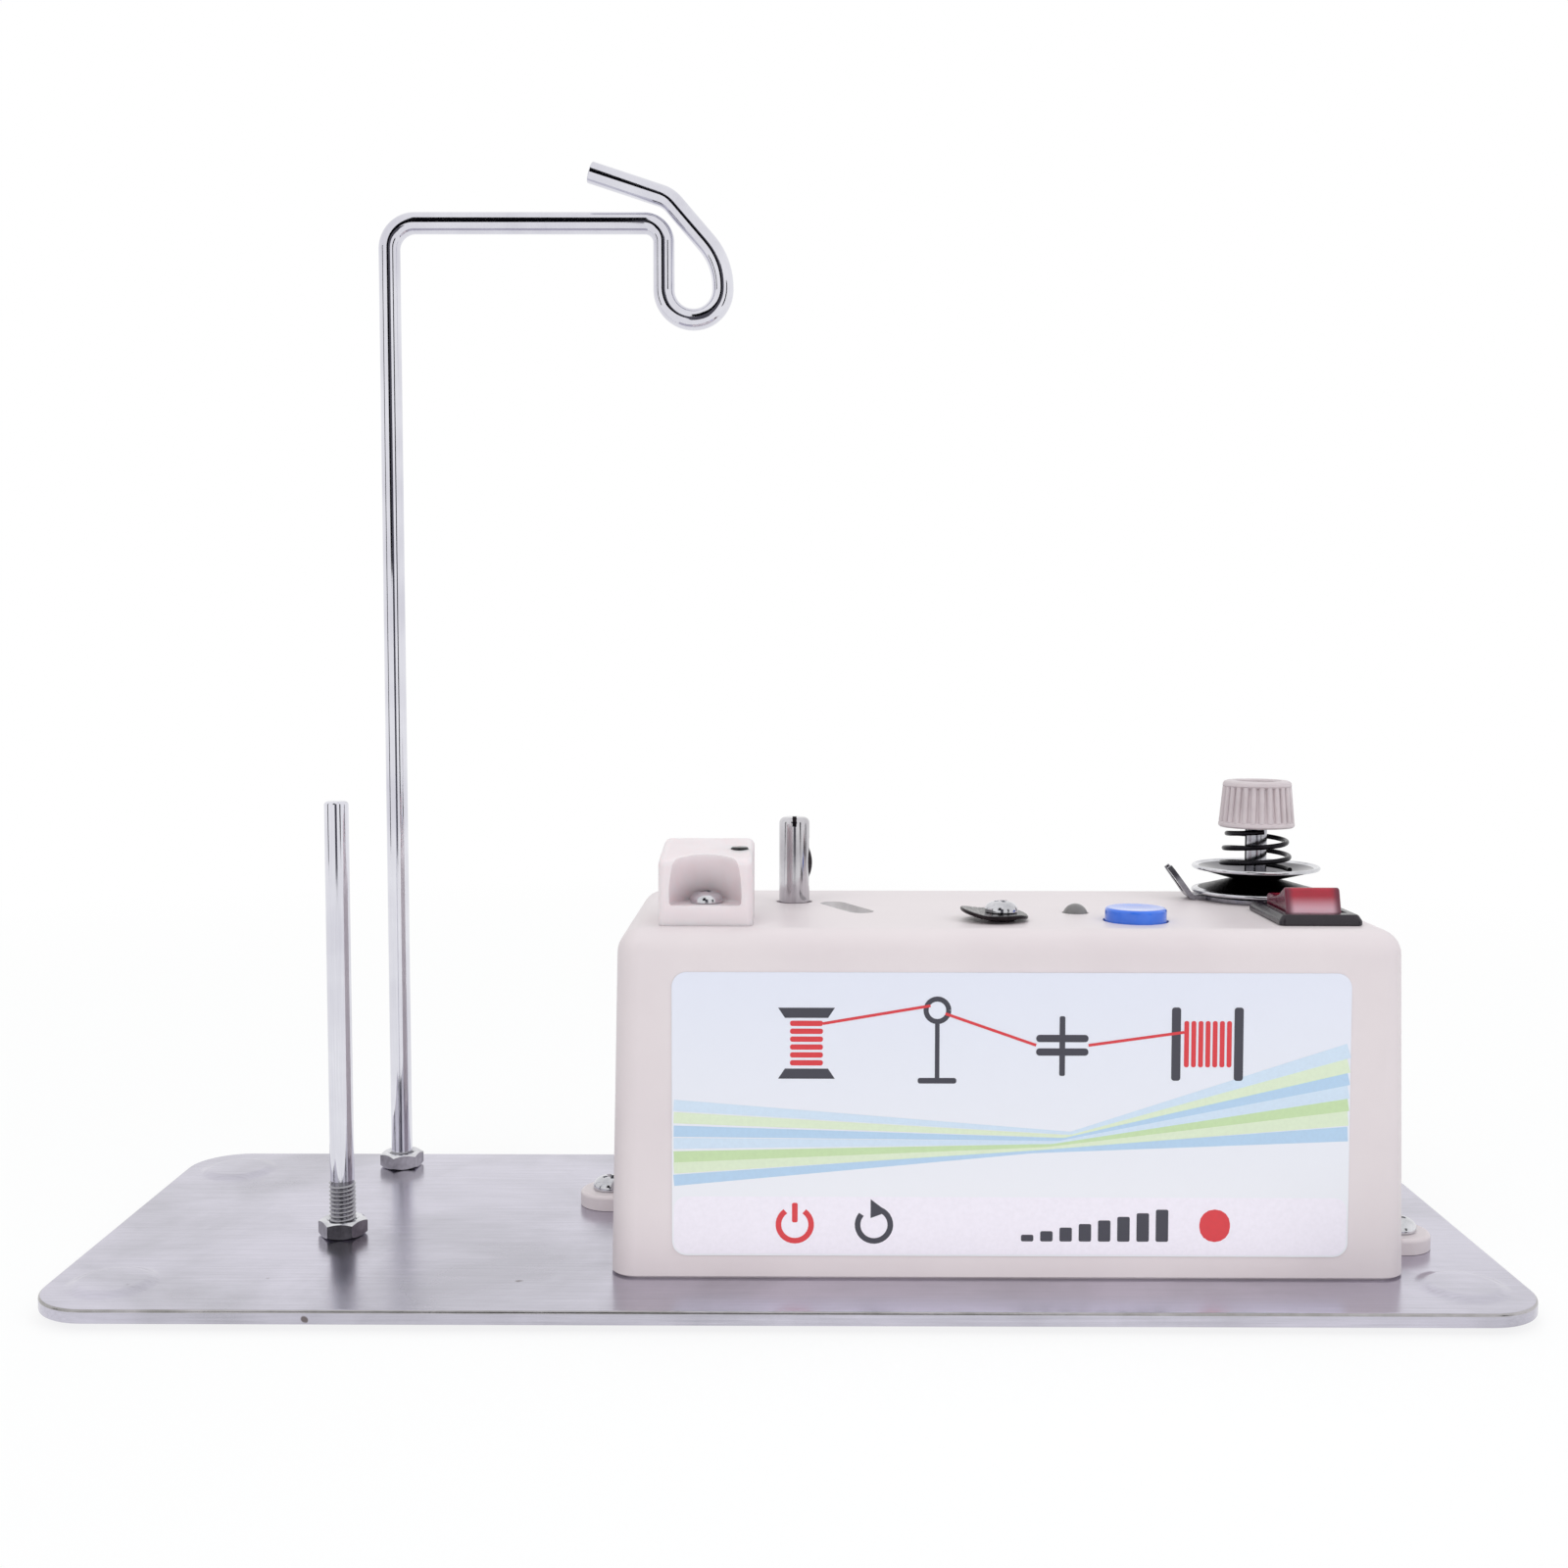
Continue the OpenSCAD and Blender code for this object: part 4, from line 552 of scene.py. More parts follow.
# ribs round a tapered grip: one leaning bar, repeated round a circle
def ribTree():
    tree, ids, given = newTree("gripRibs", {
        "Count": "Int", "Low radius": "Float", "High radius": "Float", "Height": "Float", "Rib radius": "Float",
        "Finish": "Material"})
    shrink = addNode(tree, "ShaderNodeMath", {
        0: given["High radius"], 1: given["Low radius"]}, {"operation": "SUBTRACT"})
    tip = addNode(tree, "ShaderNodeCombineXYZ", {"X": shrink.outputs[0], "Z": given["Height"]})
    bar = addNode(tree, "GeometryNodeCurvePrimitiveLine", {"End": tip.outputs[0]})
    ring = addNode(tree, "GeometryNodeCurvePrimitiveCircle", {"Resolution": 10, "Radius": given["Rib radius"]})
    rib = addNode(tree, "GeometryNodeCurveToMesh", {
        "Curve": bar.outputs[0], "Profile Curve": ring.outputs["Curve"], "Fill Caps": True})
    circle = addNode(tree, "GeometryNodeMeshCircle", {"Vertices": given["Count"], "Radius": given["Low radius"]})
    index = addNode(tree, "GeometryNodeInputIndex")
    step = addNode(tree, "ShaderNodeMath", {0: 2 * pi, 1: given["Count"]}, {"operation": "DIVIDE"})
    angle = addNode(tree, "ShaderNodeMath", {0: index.outputs[0], 1: step.outputs[0]}, {"operation": "MULTIPLY"})
    about = addNode(tree, "ShaderNodeCombineXYZ", {"Z": angle.outputs[0]})
    spread = addNode(tree, "GeometryNodeInstanceOnPoints", {
        "Points": circle.outputs[0], "Instance": rib.outputs[0], "Rotation": about.outputs[0]})
    endTree(tree, spread.outputs[0], given["Finish"])
    return tree, ids


wires, coils, scatters, ribs = wireTree(), coilTree(), scatterTree(), ribTree()


def growMesh(name, kind, values, start=None):
    tree, ids = kind
    obj = linkObject(name + "_grown", start or bpy.data.meshes.new(name + "_start"))
    grow = obj.modifiers.new("grow", "NODES")
    grow.node_group = tree
    for label, value in values.items():
        grow[ids[label]] = value
    mesh = bakeModifiers(obj)
    bpy.data.objects.remove(obj)
    return mesh


# one shape at several points, each given as x, y and z in mm, a turn and a size
def setOnPoints(name, shape, material, points):
    start = bpy.data.meshes.new(name + "_points")
    start.from_pydata([Vector(p[:3]) * mm for p in points], [], [])
    for label, k in (("turn", 3), ("size", 4)):
        start.attributes.new(label, "FLOAT", "POINT").data.foreach_set("value", [p[k] for p in points])
    one = linkObject(name + "_shape", shape)
    mesh = growMesh(name, scatters, {"Shape": one, "Finish": finish[material]}, start)
    bpy.data.objects.remove(one)
    return mesh


def addMesh(form, mesh, shift=(0, 0, 0)):     # adds a mesh to a form, moved in mm
    start = len(form.verts)
    form.from_mesh(mesh)
    form.verts.ensure_lookup_table()
    for vert in form.verts[start:]:
        vert.co += Vector(shift) * mm


# camera at the photograph's place
def addCamera():
    lens = {"focal": 38.25, "sensor": 36.0, "at": (0.54, -319.52, 110.78), "pan": 0.231, "dip": 3.795, "roll": 0.087}
    data = bpy.data.cameras.new("photoCamera")
    data.lens, data.sensor_width, data.sensor_fit = lens["focal"], lens["sensor"], "HORIZONTAL"
    data.clip_start, data.clip_end = 0.01, 20.0
    obj = linkObject("photoCamera", data)
    turn = (Matrix.Rotation(radians(lens["pan"]), 4, "Z") @ Matrix.Rotation(radians(90 - lens["dip"]), 4, "X")
            @ Matrix.Rotation(radians(lens["roll"]), 4, "Z"))
    obj.matrix_world = Matrix.Translation(Vector(lens["at"]) * mm) @ turn
    scene.camera = obj


addCamera()


# base plate with pressed bosses, and its rubber feet
def addPlate():
    sheet = {"w": 260.0, "d": 92.0, "corner": 11.0, "edge": 0.5, "edgeLow": 0.3, "bossR": 6.85, "bossH": 0.7,
             "flow": 1.4, "crown": 0.05, "skin": 0.003}
    top = level["plateTop"]
    form = bmesh.new()
    addSlab(form, roundRect(sheet["w"], sheet["d"], sheet["corner"], steps=14), level["plateLow"], top,
            sheet["edgeLow"], sheet["edge"])
    outer, inner, skin = sheet["bossR"] + sheet["flow"], sheet["bossR"] - sheet["flow"], top + sheet["skin"]
    profile = [(outer + 0.5, top - 0.01), (outer + 0.4, skin), (outer + 0.05, skin)]
    for t in sweep(0, 1, 14):     # S-shaped shoulder of a pressed boss
        profile.append((outer - (outer - inner) * t, skin + sheet["bossH"] * (3 * t * t - 2 * t ** 3)))
    crest = profile[-1][1]
    profile += [(inner * s, crest + sheet["crown"] * (1 - s)) for s in (0.95, 0.85, 0.6, 0.3, 0.0)]
    for spot in place["bosses"]:
        addLathe(form, profile[::-1], spot, 64)
    addPiece("base_plate_polished", meshFrom(form, "plate"), "base", "plate", ("base_plate",),
             other=("plateEdge",), where=lambda p, normal: p.z < top - 0.02 and normal.z > 0.08)


addPlate()


def addFeet():
    foot = {"r": 4.95, "h": 2.2, "edge": 0.5, "dimple": 0.25, "dimpleR": (2.6, 3.1)}
    r, h, edge, dimple = (foot[k] for k in ("r", "h", "edge", "dimple"))
    form = bmesh.new()
    hollow = [(0, dimple), (foot["dimpleR"][0], dimple), (foot["dimpleR"][1], 0)]
    arc = arcPoints((r - edge, edge), edge, -pi / 2, 0, 3)
    addLathe(form, hollow + arc + [(r, h - 0.1), (r - 0.2, h), (0, h)], steps=40)
    mesh = setOnPoints("feet", meshFrom(form, "foot"), "rubber", [(x, y, 0, 0, 1) for x, y in place["bosses"]])
    addPiece("rubber_feet_moulded", mesh, "base", "rubber", ("rubber_feet",))


addFeet()
print("plate and feet done")


# housing: drafted shell with a rolled top edge, ears, bosses and its holes
def addHousing():
    shell = {"w": 141.6, "d": 61.0, "draft": 1.1, "edge": 4.5, "wall": 2.5, "earR": 6.0, "earT": 3.0, "earReach": 4.4,
             "earEdge": 0.8, "earHoleR": 2.0, "footRound": 0.4, "slotW": 5.0, "slotDeep": 1.5, "slotAt": (7.6, -3.0),
             "slotRun": (5.0, -11.0), "bossSpindle": (6.5, 6.0), "bossScrew": (3.5, 8), "bossMotor": (3.25, 8),
             "bossBoard": (3.25, 15.5), "motorScrews": (16, 12), "boardX": (47.0, 80.95), "boardY": (-20.8, -0.9),
             "padR": 6.5, "padFrom": 27.3, "padTo": 30.8, "jackR": 4.05, "bushR": 4.55, "sunk": 0.6, "spindleR": 3.5,
             "screwR": 1.55, "ledR": 2.45, "buttonR": 5.9, "postR": 2.3, "rockerHole": (13.8, 20.0), "bossDeep": 9.0,
             "past": 3.0}     # cuts run past the wall, and bossDeep into a boss below it

    def loopAt(inset, r, z):
        return atLevel(roundRect(shell["w"] - 2 * inset, shell["d"] - 2 * inset, r, place["housing"], 10), z)

    def wallLoops(inset, r, foot):
        rise = level["top"] - inset - r
        loops = [loopAt(inset + shell["draft"] * t, r, foot + (rise - foot) * t) for t in (0, 0.02, 0.5, 0.98, 1)]
        for a in sweep(0, pi / 2, 8)[1:]:
            loops.append(loopAt(inset + shell["draft"] + r * (1 - cos(a)), max(r * cos(a), 0.02), rise + r * sin(a)))
        return loops

    form = bmesh.new()
    outer = wallLoops(0, shell["edge"], level["plateTop"] + shell["footRound"])
    foot = loopAt(shell["footRound"], shell["edge"], level["plateTop"])
    inner = wallLoops(shell["wall"], shell["edge"] - shell["wall"] / 2, level["plateTop"])
    addLoft(form, inner[::-1] + [foot] + outer)
    for x, y, turn in place["ears"]:
        r, back = shell["earR"], -shell["earReach"] - shell["wall"] / 2
        outline = [(back, -r)] + arcPoints((0, 0), r, -pi / 2, pi / 2, 24) + [(back, r)]
        spin = Matrix.Translation((x, y, level["plateTop"])) @ Matrix.Rotation(turn, 4, "Z")
        addSlab(form, outline, 0, shell["earT"], 0.15, shell["earEdge"], 5, spin)
    top, under = level["top"], level["under"]
    sx, sy = place["spindle"]
    mx, my = shell["motorScrews"]
    bosses = [place["spindle"] + shell["bossSpindle"], place["blockScrew"] + shell["bossScrew"],
              place["cutterScrew"] + shell["bossScrew"]]     # each x, y, radius and drop
    bosses += [(sx + a * mx, sy + b * my) + shell["bossMotor"] for a in (-1, 1) for b in (-1, 1)]
    bosses += [(x, y) + shell["bossBoard"] for x in shell["boardX"] for y in shell["boardY"]]
    for x, y, r, drop in bosses:
        addRod(form, r, under - drop, under + shell["sunk"], (x, y), nose=(0.3, 0.3))
    # raised pad round the inlet
    ix, iz = place["inlet"]
    spin = Matrix.Translation((ix, 0, iz)) @ Matrix.Rotation(-pi / 2, 4, "X")
    r, start, end = shell["padR"], shell["padFrom"], shell["padTo"]
    addLathe(form, [(0, start), (r, start), (r, end - 0.2), (r - 0.2, end), (0, end)], steps=48, spin=spin)
    mesh = meshFrom(form, "housing")

    past, bossDeep = shell["past"], shell["bossDeep"]

    def hole(r, z0, flare=0.2):     # a hole through the top with a broken edge
        wide = r + flare
        edge = [(r, top - flare), (r + flare * 0.3, top - flare * 0.3), (wide, top + 0.02), (wide, top + past)]
        return [(0, z0), (r, z0)] + edge + [(0, top + past)]

    cut = bmesh.new()
    addLathe(cut, hole(shell["spindleR"], under - bossDeep, 0.25), place["spindle"], 48)
    addRod(cut, shell["bushR"], under - bossDeep, under + 1, place["spindle"], 48)
    for spot, r, drop in (("blockScrew", "screwR", bossDeep), ("cutterScrew", "screwR", bossDeep), ("led", "ledR", 2),
                          ("button", "buttonR", 2), ("tension", "postR", 2)):
        addLathe(cut, hole(shell[r], under - drop), place[spot], 48)
    rx, ry = place["rocker"]
    w, l = shell["rockerHole"]
    addBox(cut, (rx - w / 2, ry - l / 2, under - past), (rx + w / 2, ry + l / 2, top + past))
    # shallow oblong pocket beside the spindle
    run, half = Vector(shell["slotRun"]), shell["slotW"] / 2
    slotAt = Matrix.Translation(Vector((sx, sy, 0)) + Vector(shell["slotAt"] + (0,)))
    ends = arcPoints((run.length, 0), half, -pi / 2, pi / 2, 16) + arcPoints((0, 0), half, pi / 2, 3 * pi / 2, 16)
    addSlab(cut, ends, top - shell["slotDeep"], top + 2, 0.4, 0, 3,
            slotAt @ Matrix.Rotation(atan2(run.y, run.x), 4, "Z"))
    for x, y, turn in place["ears"]:
        addRod(cut, shell["earHoleR"], 0, 9, (x, y))
    addRod(cut, shell["jackR"], 20, 40, steps=40, spin=spin)
    mesh = cutAway(mesh, cut, "housing")

    # the pocket's floor and walls take the grey painted shade
    def inSlot(p, normal):     # the pocket's floor and walls
        x, y = p.x - sx - shell["slotAt"][0] - run.x / 2, p.y - sy - shell["slotAt"][1] - run.y / 2
        near = abs(x) < abs(run.x) / 2 + half + 0.5 and abs(y) < abs(run.y) / 2 + half + 0.5
        return near and top - shell["slotDeep"] - 0.1 < p.z < top - 0.05

    addPiece("housing_moulded", mesh, "base", "housing", ("housing",), 32,
             other=("slotShade",), where=inSlot)


addHousing()
print("housing done")


# front label: film sheet and generic print (a thread's way from spool to bobbin)
def addLabel():
    sheet = {"w": 119.5, "h": 50.5, "corner": 2.6, "t": 0.2, "lift": 4.2, "lean": 1.096, "gap": 0.03, "proud": 0.012,
             "inkT": 0.0008, "stripH": 10.6, "margin": 0.35}
    colour = {"dark": "#3b3a46", "red": "#d8333c", "blue": "#b4d0ea", "paleBlue": "#cfe0f1", "green": "#c4dcab",
              "paleGreen": "#dbe8cc", "white": "#f0ebf5"}
    spin = (Matrix.Translation(place["front"] + (level["plateTop"],))
            @ Matrix.Rotation(radians(90 - sheet["lean"]), 4, "X")
            @ Matrix.Translation((0, sheet["lift"] + sheet["h"] / 2, sheet["gap"])))
    form = bmesh.new()
    addSlab(form, roundRect(sheet["w"], sheet["h"], sheet["corner"], steps=8), 0, sheet["t"], 0, 0.06, 2, spin)
    addPiece("front_label_film", meshFrom(form, "label"), "base", "film", ("front_label",))

    form = bmesh.new()
    tint = form.loops.layers.float_color.new("ink")
    stack = {"k": 0}

    def shape(points, name):     # later shapes lie a hair above earlier ones
        z = sheet["t"] + sheet["proud"] + sheet["inkT"] * stack["k"]
        stack["k"] += 1
        verts = [form.verts.new(spin @ Vector((p[0], p[1], z)) * mm) for p in points]
        face = form.faces.new(verts)
        face.normal_update()
        if face.normal.y > 0:
            face.normal_flip()
        for corner in face.loops:
            corner[tint] = toLinear(colour[name])

    def band(path, width, name):     # ribbon along a path, width given at each end
        sides = []
        for i, p in enumerate(path):
            p = Vector(p)
            ahead = Vector(path[min(i + 1, len(path) - 1)]) - Vector(path[max(i - 1, 0)])
            w = width[0] + (width[1] - width[0]) * i / (len(path) - 1)
            side = Vector((-ahead.y, ahead.x)).normalized() * w / 2
            sides.append((p + side, p - side))
        for a, b in zip(sides, sides[1:]):
            shape([a[0], b[0], b[1], a[1]], name)
            stack["k"] -= 1
        stack["k"] += 1

    def bar(x0, y0, x1, y1, r, name):
        shape(roundRect(x1 - x0, y1 - y0, r, ((x0 + x1) / 2, (y0 + y1) / 2), 4), name)

    half, low = sheet["w"] / 2 - sheet["margin"], -sheet["h"] / 2
    strands = (("blue", -11.8, -3.2), ("paleGreen", -9.6, -0.4), ("green", -7.6, 2.2), ("paleBlue", -5.2, 4.4),
               ("blue", -3.0, 6.8), ("paleGreen", -0.6, 9.0), ("paleBlue", 1.6, 11.6))
    for k, (name, left, right) in enumerate(strands):     # straight strands that draw together in the middle
        middle = (4.0 + 1.1 * k, -6.5 + 0.55 * k)
        band([(-half, left), middle], (2.0, 0.55), name)
        band([middle, (half, right)], (0.55, 2.6), name)
    bar(-half, low + sheet["margin"], half, low + sheet["stripH"], 2.2, "white")
    # spool, guide eye, tension discs and bobbin in dark ink, the thread in red
    shape([(-41, 6.4), (-31, 6.4), (-32.2, 8.2), (-39.8, 8.2)], "dark")
    shape([(-39.8, 17.2), (-32.2, 17.2), (-31, 19), (-41, 19)], "dark")
    for k in range(6):
        bar(-38.9, 8.75 + 1.4 * k, -33.1, 9.7 + 1.4 * k, 0.4, "red")
    band(arcPoints((-13, 18.6), 2.0, 0, 2 * pi, 24), (0.9, 0.9), "dark")
    bar(-13.4, 6.4, -12.6, 16.4, 0.2, "dark")
    bar(-16.4, 5.6, -9.6, 6.6, 0.4, "dark")
    for k in range(2):
        bar(4.4, 10.6 + 2.4 * k, 13.6, 11.9 + 2.4 * k, 0.6, "dark")
    bar(8.5, 7.0, 9.5, 17.6, 0.3, "dark")
    for x in (28.2, 39.2):
        bar(x, 6.2, x + 1.6, 19.2, 0.5, "dark")
    for k in range(7):
        bar(30.4 + 1.25 * k, 8.6, 31.25 + 1.25 * k, 16.8, 0.35, "red")
    for run in ([(-33.1, 16.2), (-14.2, 19.4)], [(-11.6, 18.0), (4.4, 12.45)], [(13.6, 12.45), (30.4, 14.8)]):
        band(run, (0.5, 0.5), "red")
    # lower strip: start mark, turning arrow and a row of rising bars
    y = low + 5.6
    band(arcPoints((-38, y), 2.9, radians(125), radians(415), 24), (1.0, 1.0), "red")
    bar(-38.5, y + 0.4, -37.5, y + 3.9, 0.3, "red")
    band(arcPoints((-24, y), 2.9, radians(140), radians(430), 24), (1.0, 1.0), "dark")
    shape([(-24.6, y + 4.6), (-24.6, y + 1.2), (-21.6, y + 2.3)], "dark")
    for k in range(8):
        bar(2 + 3.4 * k, y - 2.9, 4.2 + 3.4 * k, y - 1.7 + 0.65 * k, 0.3, "dark")
    bar(33.5, y - 2.9, 38.9, y + 2.9, 2.6, "red")
    addPiece("front_label_print", meshFrom(form, "print", 0, False), "base", "ink", ())


addLabel()
print("label done")


# screws, nuts and rods
def panHead():     # pan head of a 3 mm screw with its cross recess, seat at z = 0
    head = {"r": 3.0, "h": 2.1, "rim": 0.5, "edge": 0.15, "neckR": 1.4, "neck": 0.5, "crossL": 1.5, "crossW": 0.34,
            "deep": 1.1}
    r, h, rim, edge, neck = (head[k] for k in ("r", "h", "rim", "edge", "neck"))
    profile = [(0, -neck), (head["neckR"], -neck), (head["neckR"], 0), (r - edge, 0), (r, edge), (r, rim)]
    profile += [(r * cos(a) ** 0.75, rim + (h - rim) * sin(a) ** 0.95) for a in sweep(0, pi / 2, 10)[1:-1]] + [(0, h)]
    form = bmesh.new()
    addLathe(form, profile, steps=48)
    cross = bmesh.new()
    for turn in (0, pi / 2):
        loops = []
        for z, grow in ((h - head["deep"], 0.45), (h + 0.3, 1.08)):
            l, w = head["crossL"] * grow, head["crossW"] * (0.7 + 0.4 * grow)
            loops.append(atLevel(rectangle((-l, -w), (l, w)), z))
        addLoft(cross, turned(loops, Matrix.Rotation(turn, 4, "Z")))
    return cutAway(meshFrom(form, "panHead"), cross, "panHead")


def addScrews():
    screw = {"earD": 3.5, "topD": 3.0, "earZ": 3.0, "blockZ": 3.64, "cutterZ": 1.5, "depths": (5.5, 5.5, 13.5, 11.0),
             "turns": (0.4, 1.3, 0.62, 0.3), "thin": 0.985}
    seats = [(x, y, level["plateTop"] + screw["earZ"], screw["earD"]) for x, y, turn in place["ears"]]
    seats += [place["blockScrew"] + (level["top"] + screw["blockZ"], screw["topD"]),
              place["cutterScrew"] + (level["top"] + screw["cutterZ"], screw["topD"])]
    points = [(x, y, z, turn, size / 3) for (x, y, z, size), turn in zip(seats, screw["turns"])]
    form = bmesh.new()
    addMesh(form, setOnPoints("screws", panHead(), "screw", points))
    for (x, y, z, turn, size), depth in zip(points, screw["depths"]):
        addRod(form, 1.5 * size * screw["thin"], z - depth, z - 0.2, (x, y), 24, nose=(0.3, 0.4))
    addPiece("pan_head_screws", meshFrom(form, "screws", 0), "base", "screw",
             ("housing_screws", "fill_stop_screw", "cutter_screw"), 30)


addScrews()


def addNuts():
    nut = {"flats": 8.0, "t": 3.2, "bore": 2.55, "chamfer": 0.93, "boreLow": 0.35, "boreHigh": 0.45, "steps": 72,
           "turns": (0.1, 0.35)}
    face, t, bore, low, high = nut["flats"] / 2, nut["t"], nut["bore"], nut["boreLow"], nut["boreHigh"]
    rTop = face * nut["chamfer"]
    columns = []
    for a in sweep(0, 2 * pi, nut["steps"])[:-1]:
        across = face / cos((a % (pi / 3)) - pi / 6)
        fall = (across - rTop) * tan(radians(30))
        column = ((bore + low, 0), (rTop, 0), (across, fall), (across, t - fall), (rTop, t), (bore + high, t),
                  (bore, t - high), (bore, low))
        columns.append([(r * cos(a), r * sin(a), z) for r, z in column])
    form = bmesh.new()
    addLoft(form, list(zip(*columns)), closed=True)
    points = [place[rod] + (level["plateTop"], turn, 1) for rod, turn in zip(("pin", "stand"), nut["turns"])]
    mesh = setOnPoints("nuts", meshFrom(form, "nut"), "nut", points)
    # faces that look up take the brighter nickel screw finish: a painted highlight on the tops and chamfers, beside the
    # sides' darker painted shade
    addPiece("rod_lock_nuts_zinc", mesh, "base", "nut", ("rod_lock_nuts",), 24, other=("screw",),
             where=lambda p, normal: normal.z > 0.2)


addNuts()


def threadedFoot(form, spot, rod, high):     # rolled thread: core with a four-sided helical ridge
    core = rod["threadR"] - rod["tooth"]
    low = level["plateLow"]
    addRod(form, core, low, high + 0.3, spot, 40, nose=(0.4, 0.4))
    ridge = growMesh("ridge", coils, {
        "Low radius": (core + 0.02) * mm, "High radius": (core + 0.02) * mm, "Turns": (high - low - 0.5) / rod["pitch"],
        "Height": (high - low - 0.5) * mm, "Steps a turn": 28, "Wire radius": rod["tooth"] * 0.98 * mm, "Wire sides": 4,
        "Finish": finish["thread"]})
    addMesh(form, ridge, (spot[0], spot[1], low + 0.25))


def addSpoolPin():
    rod = {"r": 2.25, "low": 13.9, "top": 86.7, "threadR": 2.5, "threadTop": 14.2, "standTop": 7.2, "pitch": 0.8,
           "tooth": 0.3, "chamfer": 0.55}
    form = bmesh.new()
    low, t, r, c = rod["low"], rod["top"], rod["r"], rod["chamfer"]
    tip = [(r, t - c), (r - 0.12, t - c * 0.5), (r - c * 0.8, t - 0.06), (r - c, t), (0, t)]
    addLathe(form, [(0, low), (r - 0.35, low), (r, low + 0.45), (r, 30), (r, 60)] + tip, place["pin"], 48)
    addPiece("spool_pin_rod", meshFrom(form, "pin"), "base", "rod", ("spool_pin",), 30)
    form = bmesh.new()
    threadedFoot(form, place["pin"], rod, rod["threadTop"])
    threadedFoot(form, place["stand"], rod, rod["standTop"])
    addPiece("rod_foot_threads", meshFrom(form, "threads", 0, False), "base", "thread", (), 30)


addSpoolPin()


def addStand():
    rod = {"r": 2.25, "foot": 7.0, "sides": 40, "step": radians(4), "end": 0.45,
           "steps": ((192.3, 90, 5.5), (48.2, 90, 4.0), (9.7, -180, 6.2), (0.5, -41, 14.0), (10.5, -31, 6.0),
                     (15.6, 0, 0))}     # each a straight run, then a bend by degrees on a radius
    x, z, heading = 0.0, rod["foot"] + 0.2, 0.0
    points = [(x, z - 0.2), (x, z)]
    for run, angle, r in rod["steps"]:
        x, z = x + run * sin(heading), z + run * cos(heading)
        points.append((x, z))
        side = 1 if angle > 0 else -1
        count = max(int(abs(radians(angle)) / rod["step"]), 1) if angle else 0
        mid = (x + side * r * cos(heading), z - side * r * sin(heading))
        for k in range(1, count + 1):
            a = heading + radians(angle) * k / count
            points.append((mid[0] - side * r * cos(a), mid[1] + side * r * sin(a)))
        heading += radians(angle)
        x, z = points[-1]
    sx, sy = place["stand"]
    path = bpy.data.meshes.new("path")
    path.from_pydata([Vector((sx + px, sy, pz)) * mm for px, pz in points],
                     [(i, i + 1) for i in range(len(points) - 1)], [])
    mesh = growMesh("stand", wires, {
        "Wire radius": rod["r"] * mm, "Sides": rod["sides"], "Finish": finish["rod"]}, path)
    addPiece("thread_stand_rod", mesh, "base", "rod", ("thread_stand",), 40, rod["end"], 3)


addStand()
print("screws, nuts and rods done")


# fill-stop block with its eye
def addBlock():
    block = {"w": 16.9, "d": 18.0, "front": 12.0, "back": 14.3, "edge": 1.3, "backRound": 3.2, "ledge": 3.6,
             "pocketR": 6.5, "pocketSet": 2.5, "lean": 32.0, "screwR": 1.55, "eyeR": 1.6, "eyeFit": 0.05,
             "eyeInset": 2.5, "eyeBack": 7.4, "eyeLow": 8.0, "eyeTop": 13.48, "sink": 3.0, "rounding": 0.7,
             "sideRounds": (1.5, 1.5, 1.4, 9.0, 1.5)}     # sink is cut off again, for a flat foot
    x, y = place["block"]
    z = level["top"] + 0.02
    side = roundOutline([(0, -block["sink"]), (block["d"], -block["sink"]), (block["d"], block["back"]),
                         (block["d"] / 3, block["front"] + 1), (0, block["front"] - 0.1)], block["sideRounds"], 6)
    along = Matrix(((0, 0, 1, x - block["w"] / 2), (1, 0, 0, y), (0, 1, 0, z), (0, 0, 0, 1)))
    form = bmesh.new()
    addSlab(form, side, 0, block["w"], block["edge"], block["edge"], 6, along)
    mesh = meshFrom(form, "block")

    # the scooped pocket leans forward, so its mouth opens towards the front
    cut = bmesh.new()
    r, ledge, lean = block["pocketR"], z + block["ledge"], radians(block["lean"])
    long = r / cos(lean)
    loops = []
    for rise, shrink in ((0, 0.6), (0.08, 0.3), (0.25, 0.1), (0.6, 0), (20, 0)):
        mid = y + block["pocketSet"] + r - long - tan(lean) * rise
        loops.append([(x + (r - shrink) * cos(a), mid + (long - shrink) * sin(a), ledge + rise)
                      for a in sweep(0, 2 * pi, 96)[:-1]])
    addLoft(cut, loops)
    addRod(cut, block["screwR"], z - 1, z + 6, place["blockScrew"])
    ex, ey, low = x + block["w"] / 2 - block["eyeInset"], y + block["eyeBack"], z + block["eyeLow"]
    addRod(cut, block["eyeR"] + block["eyeFit"], low, z + 20, (ex, ey))

    # flat foot, and a wide rounding of the left back corner
    addBox(cut, (x - 20, y - 20, z - 10), (x + 20, y + 40, z))
    b = block["backRound"]
    cx, cy = x - block["w"] / 2 + b, y + block["d"] - b
    corner = arcPoints((cx, cy), b, pi / 2, pi, 10)
    corner += [(cx - b - 2, cy), (cx - b - 2, cy + b + 2), (cx, cy + b + 2)]
    addLoft(cut, [atLevel(corner, h) for h in (z - 1, z + 20)])
    addPiece("fill_stop_block_moulded", cutAway(mesh, cut, "block"), "fill_stop", "block", ("fill_stop_block",),
             36, block["rounding"], 4)
    form = bmesh.new()
    r, t, low = block["eyeR"], z + block["eyeTop"], low + 0.02
    addLathe(form, [(0, low), (r, low), (r, t - 0.3), (r - 0.09, t - 0.09), (r - 0.3, t), (0, t)], (ex, ey), 40)
    addPiece("fill_stop_eye", meshFrom(form, "eye"), "fill_stop", "eye", ("fill_sensor",))


addBlock()


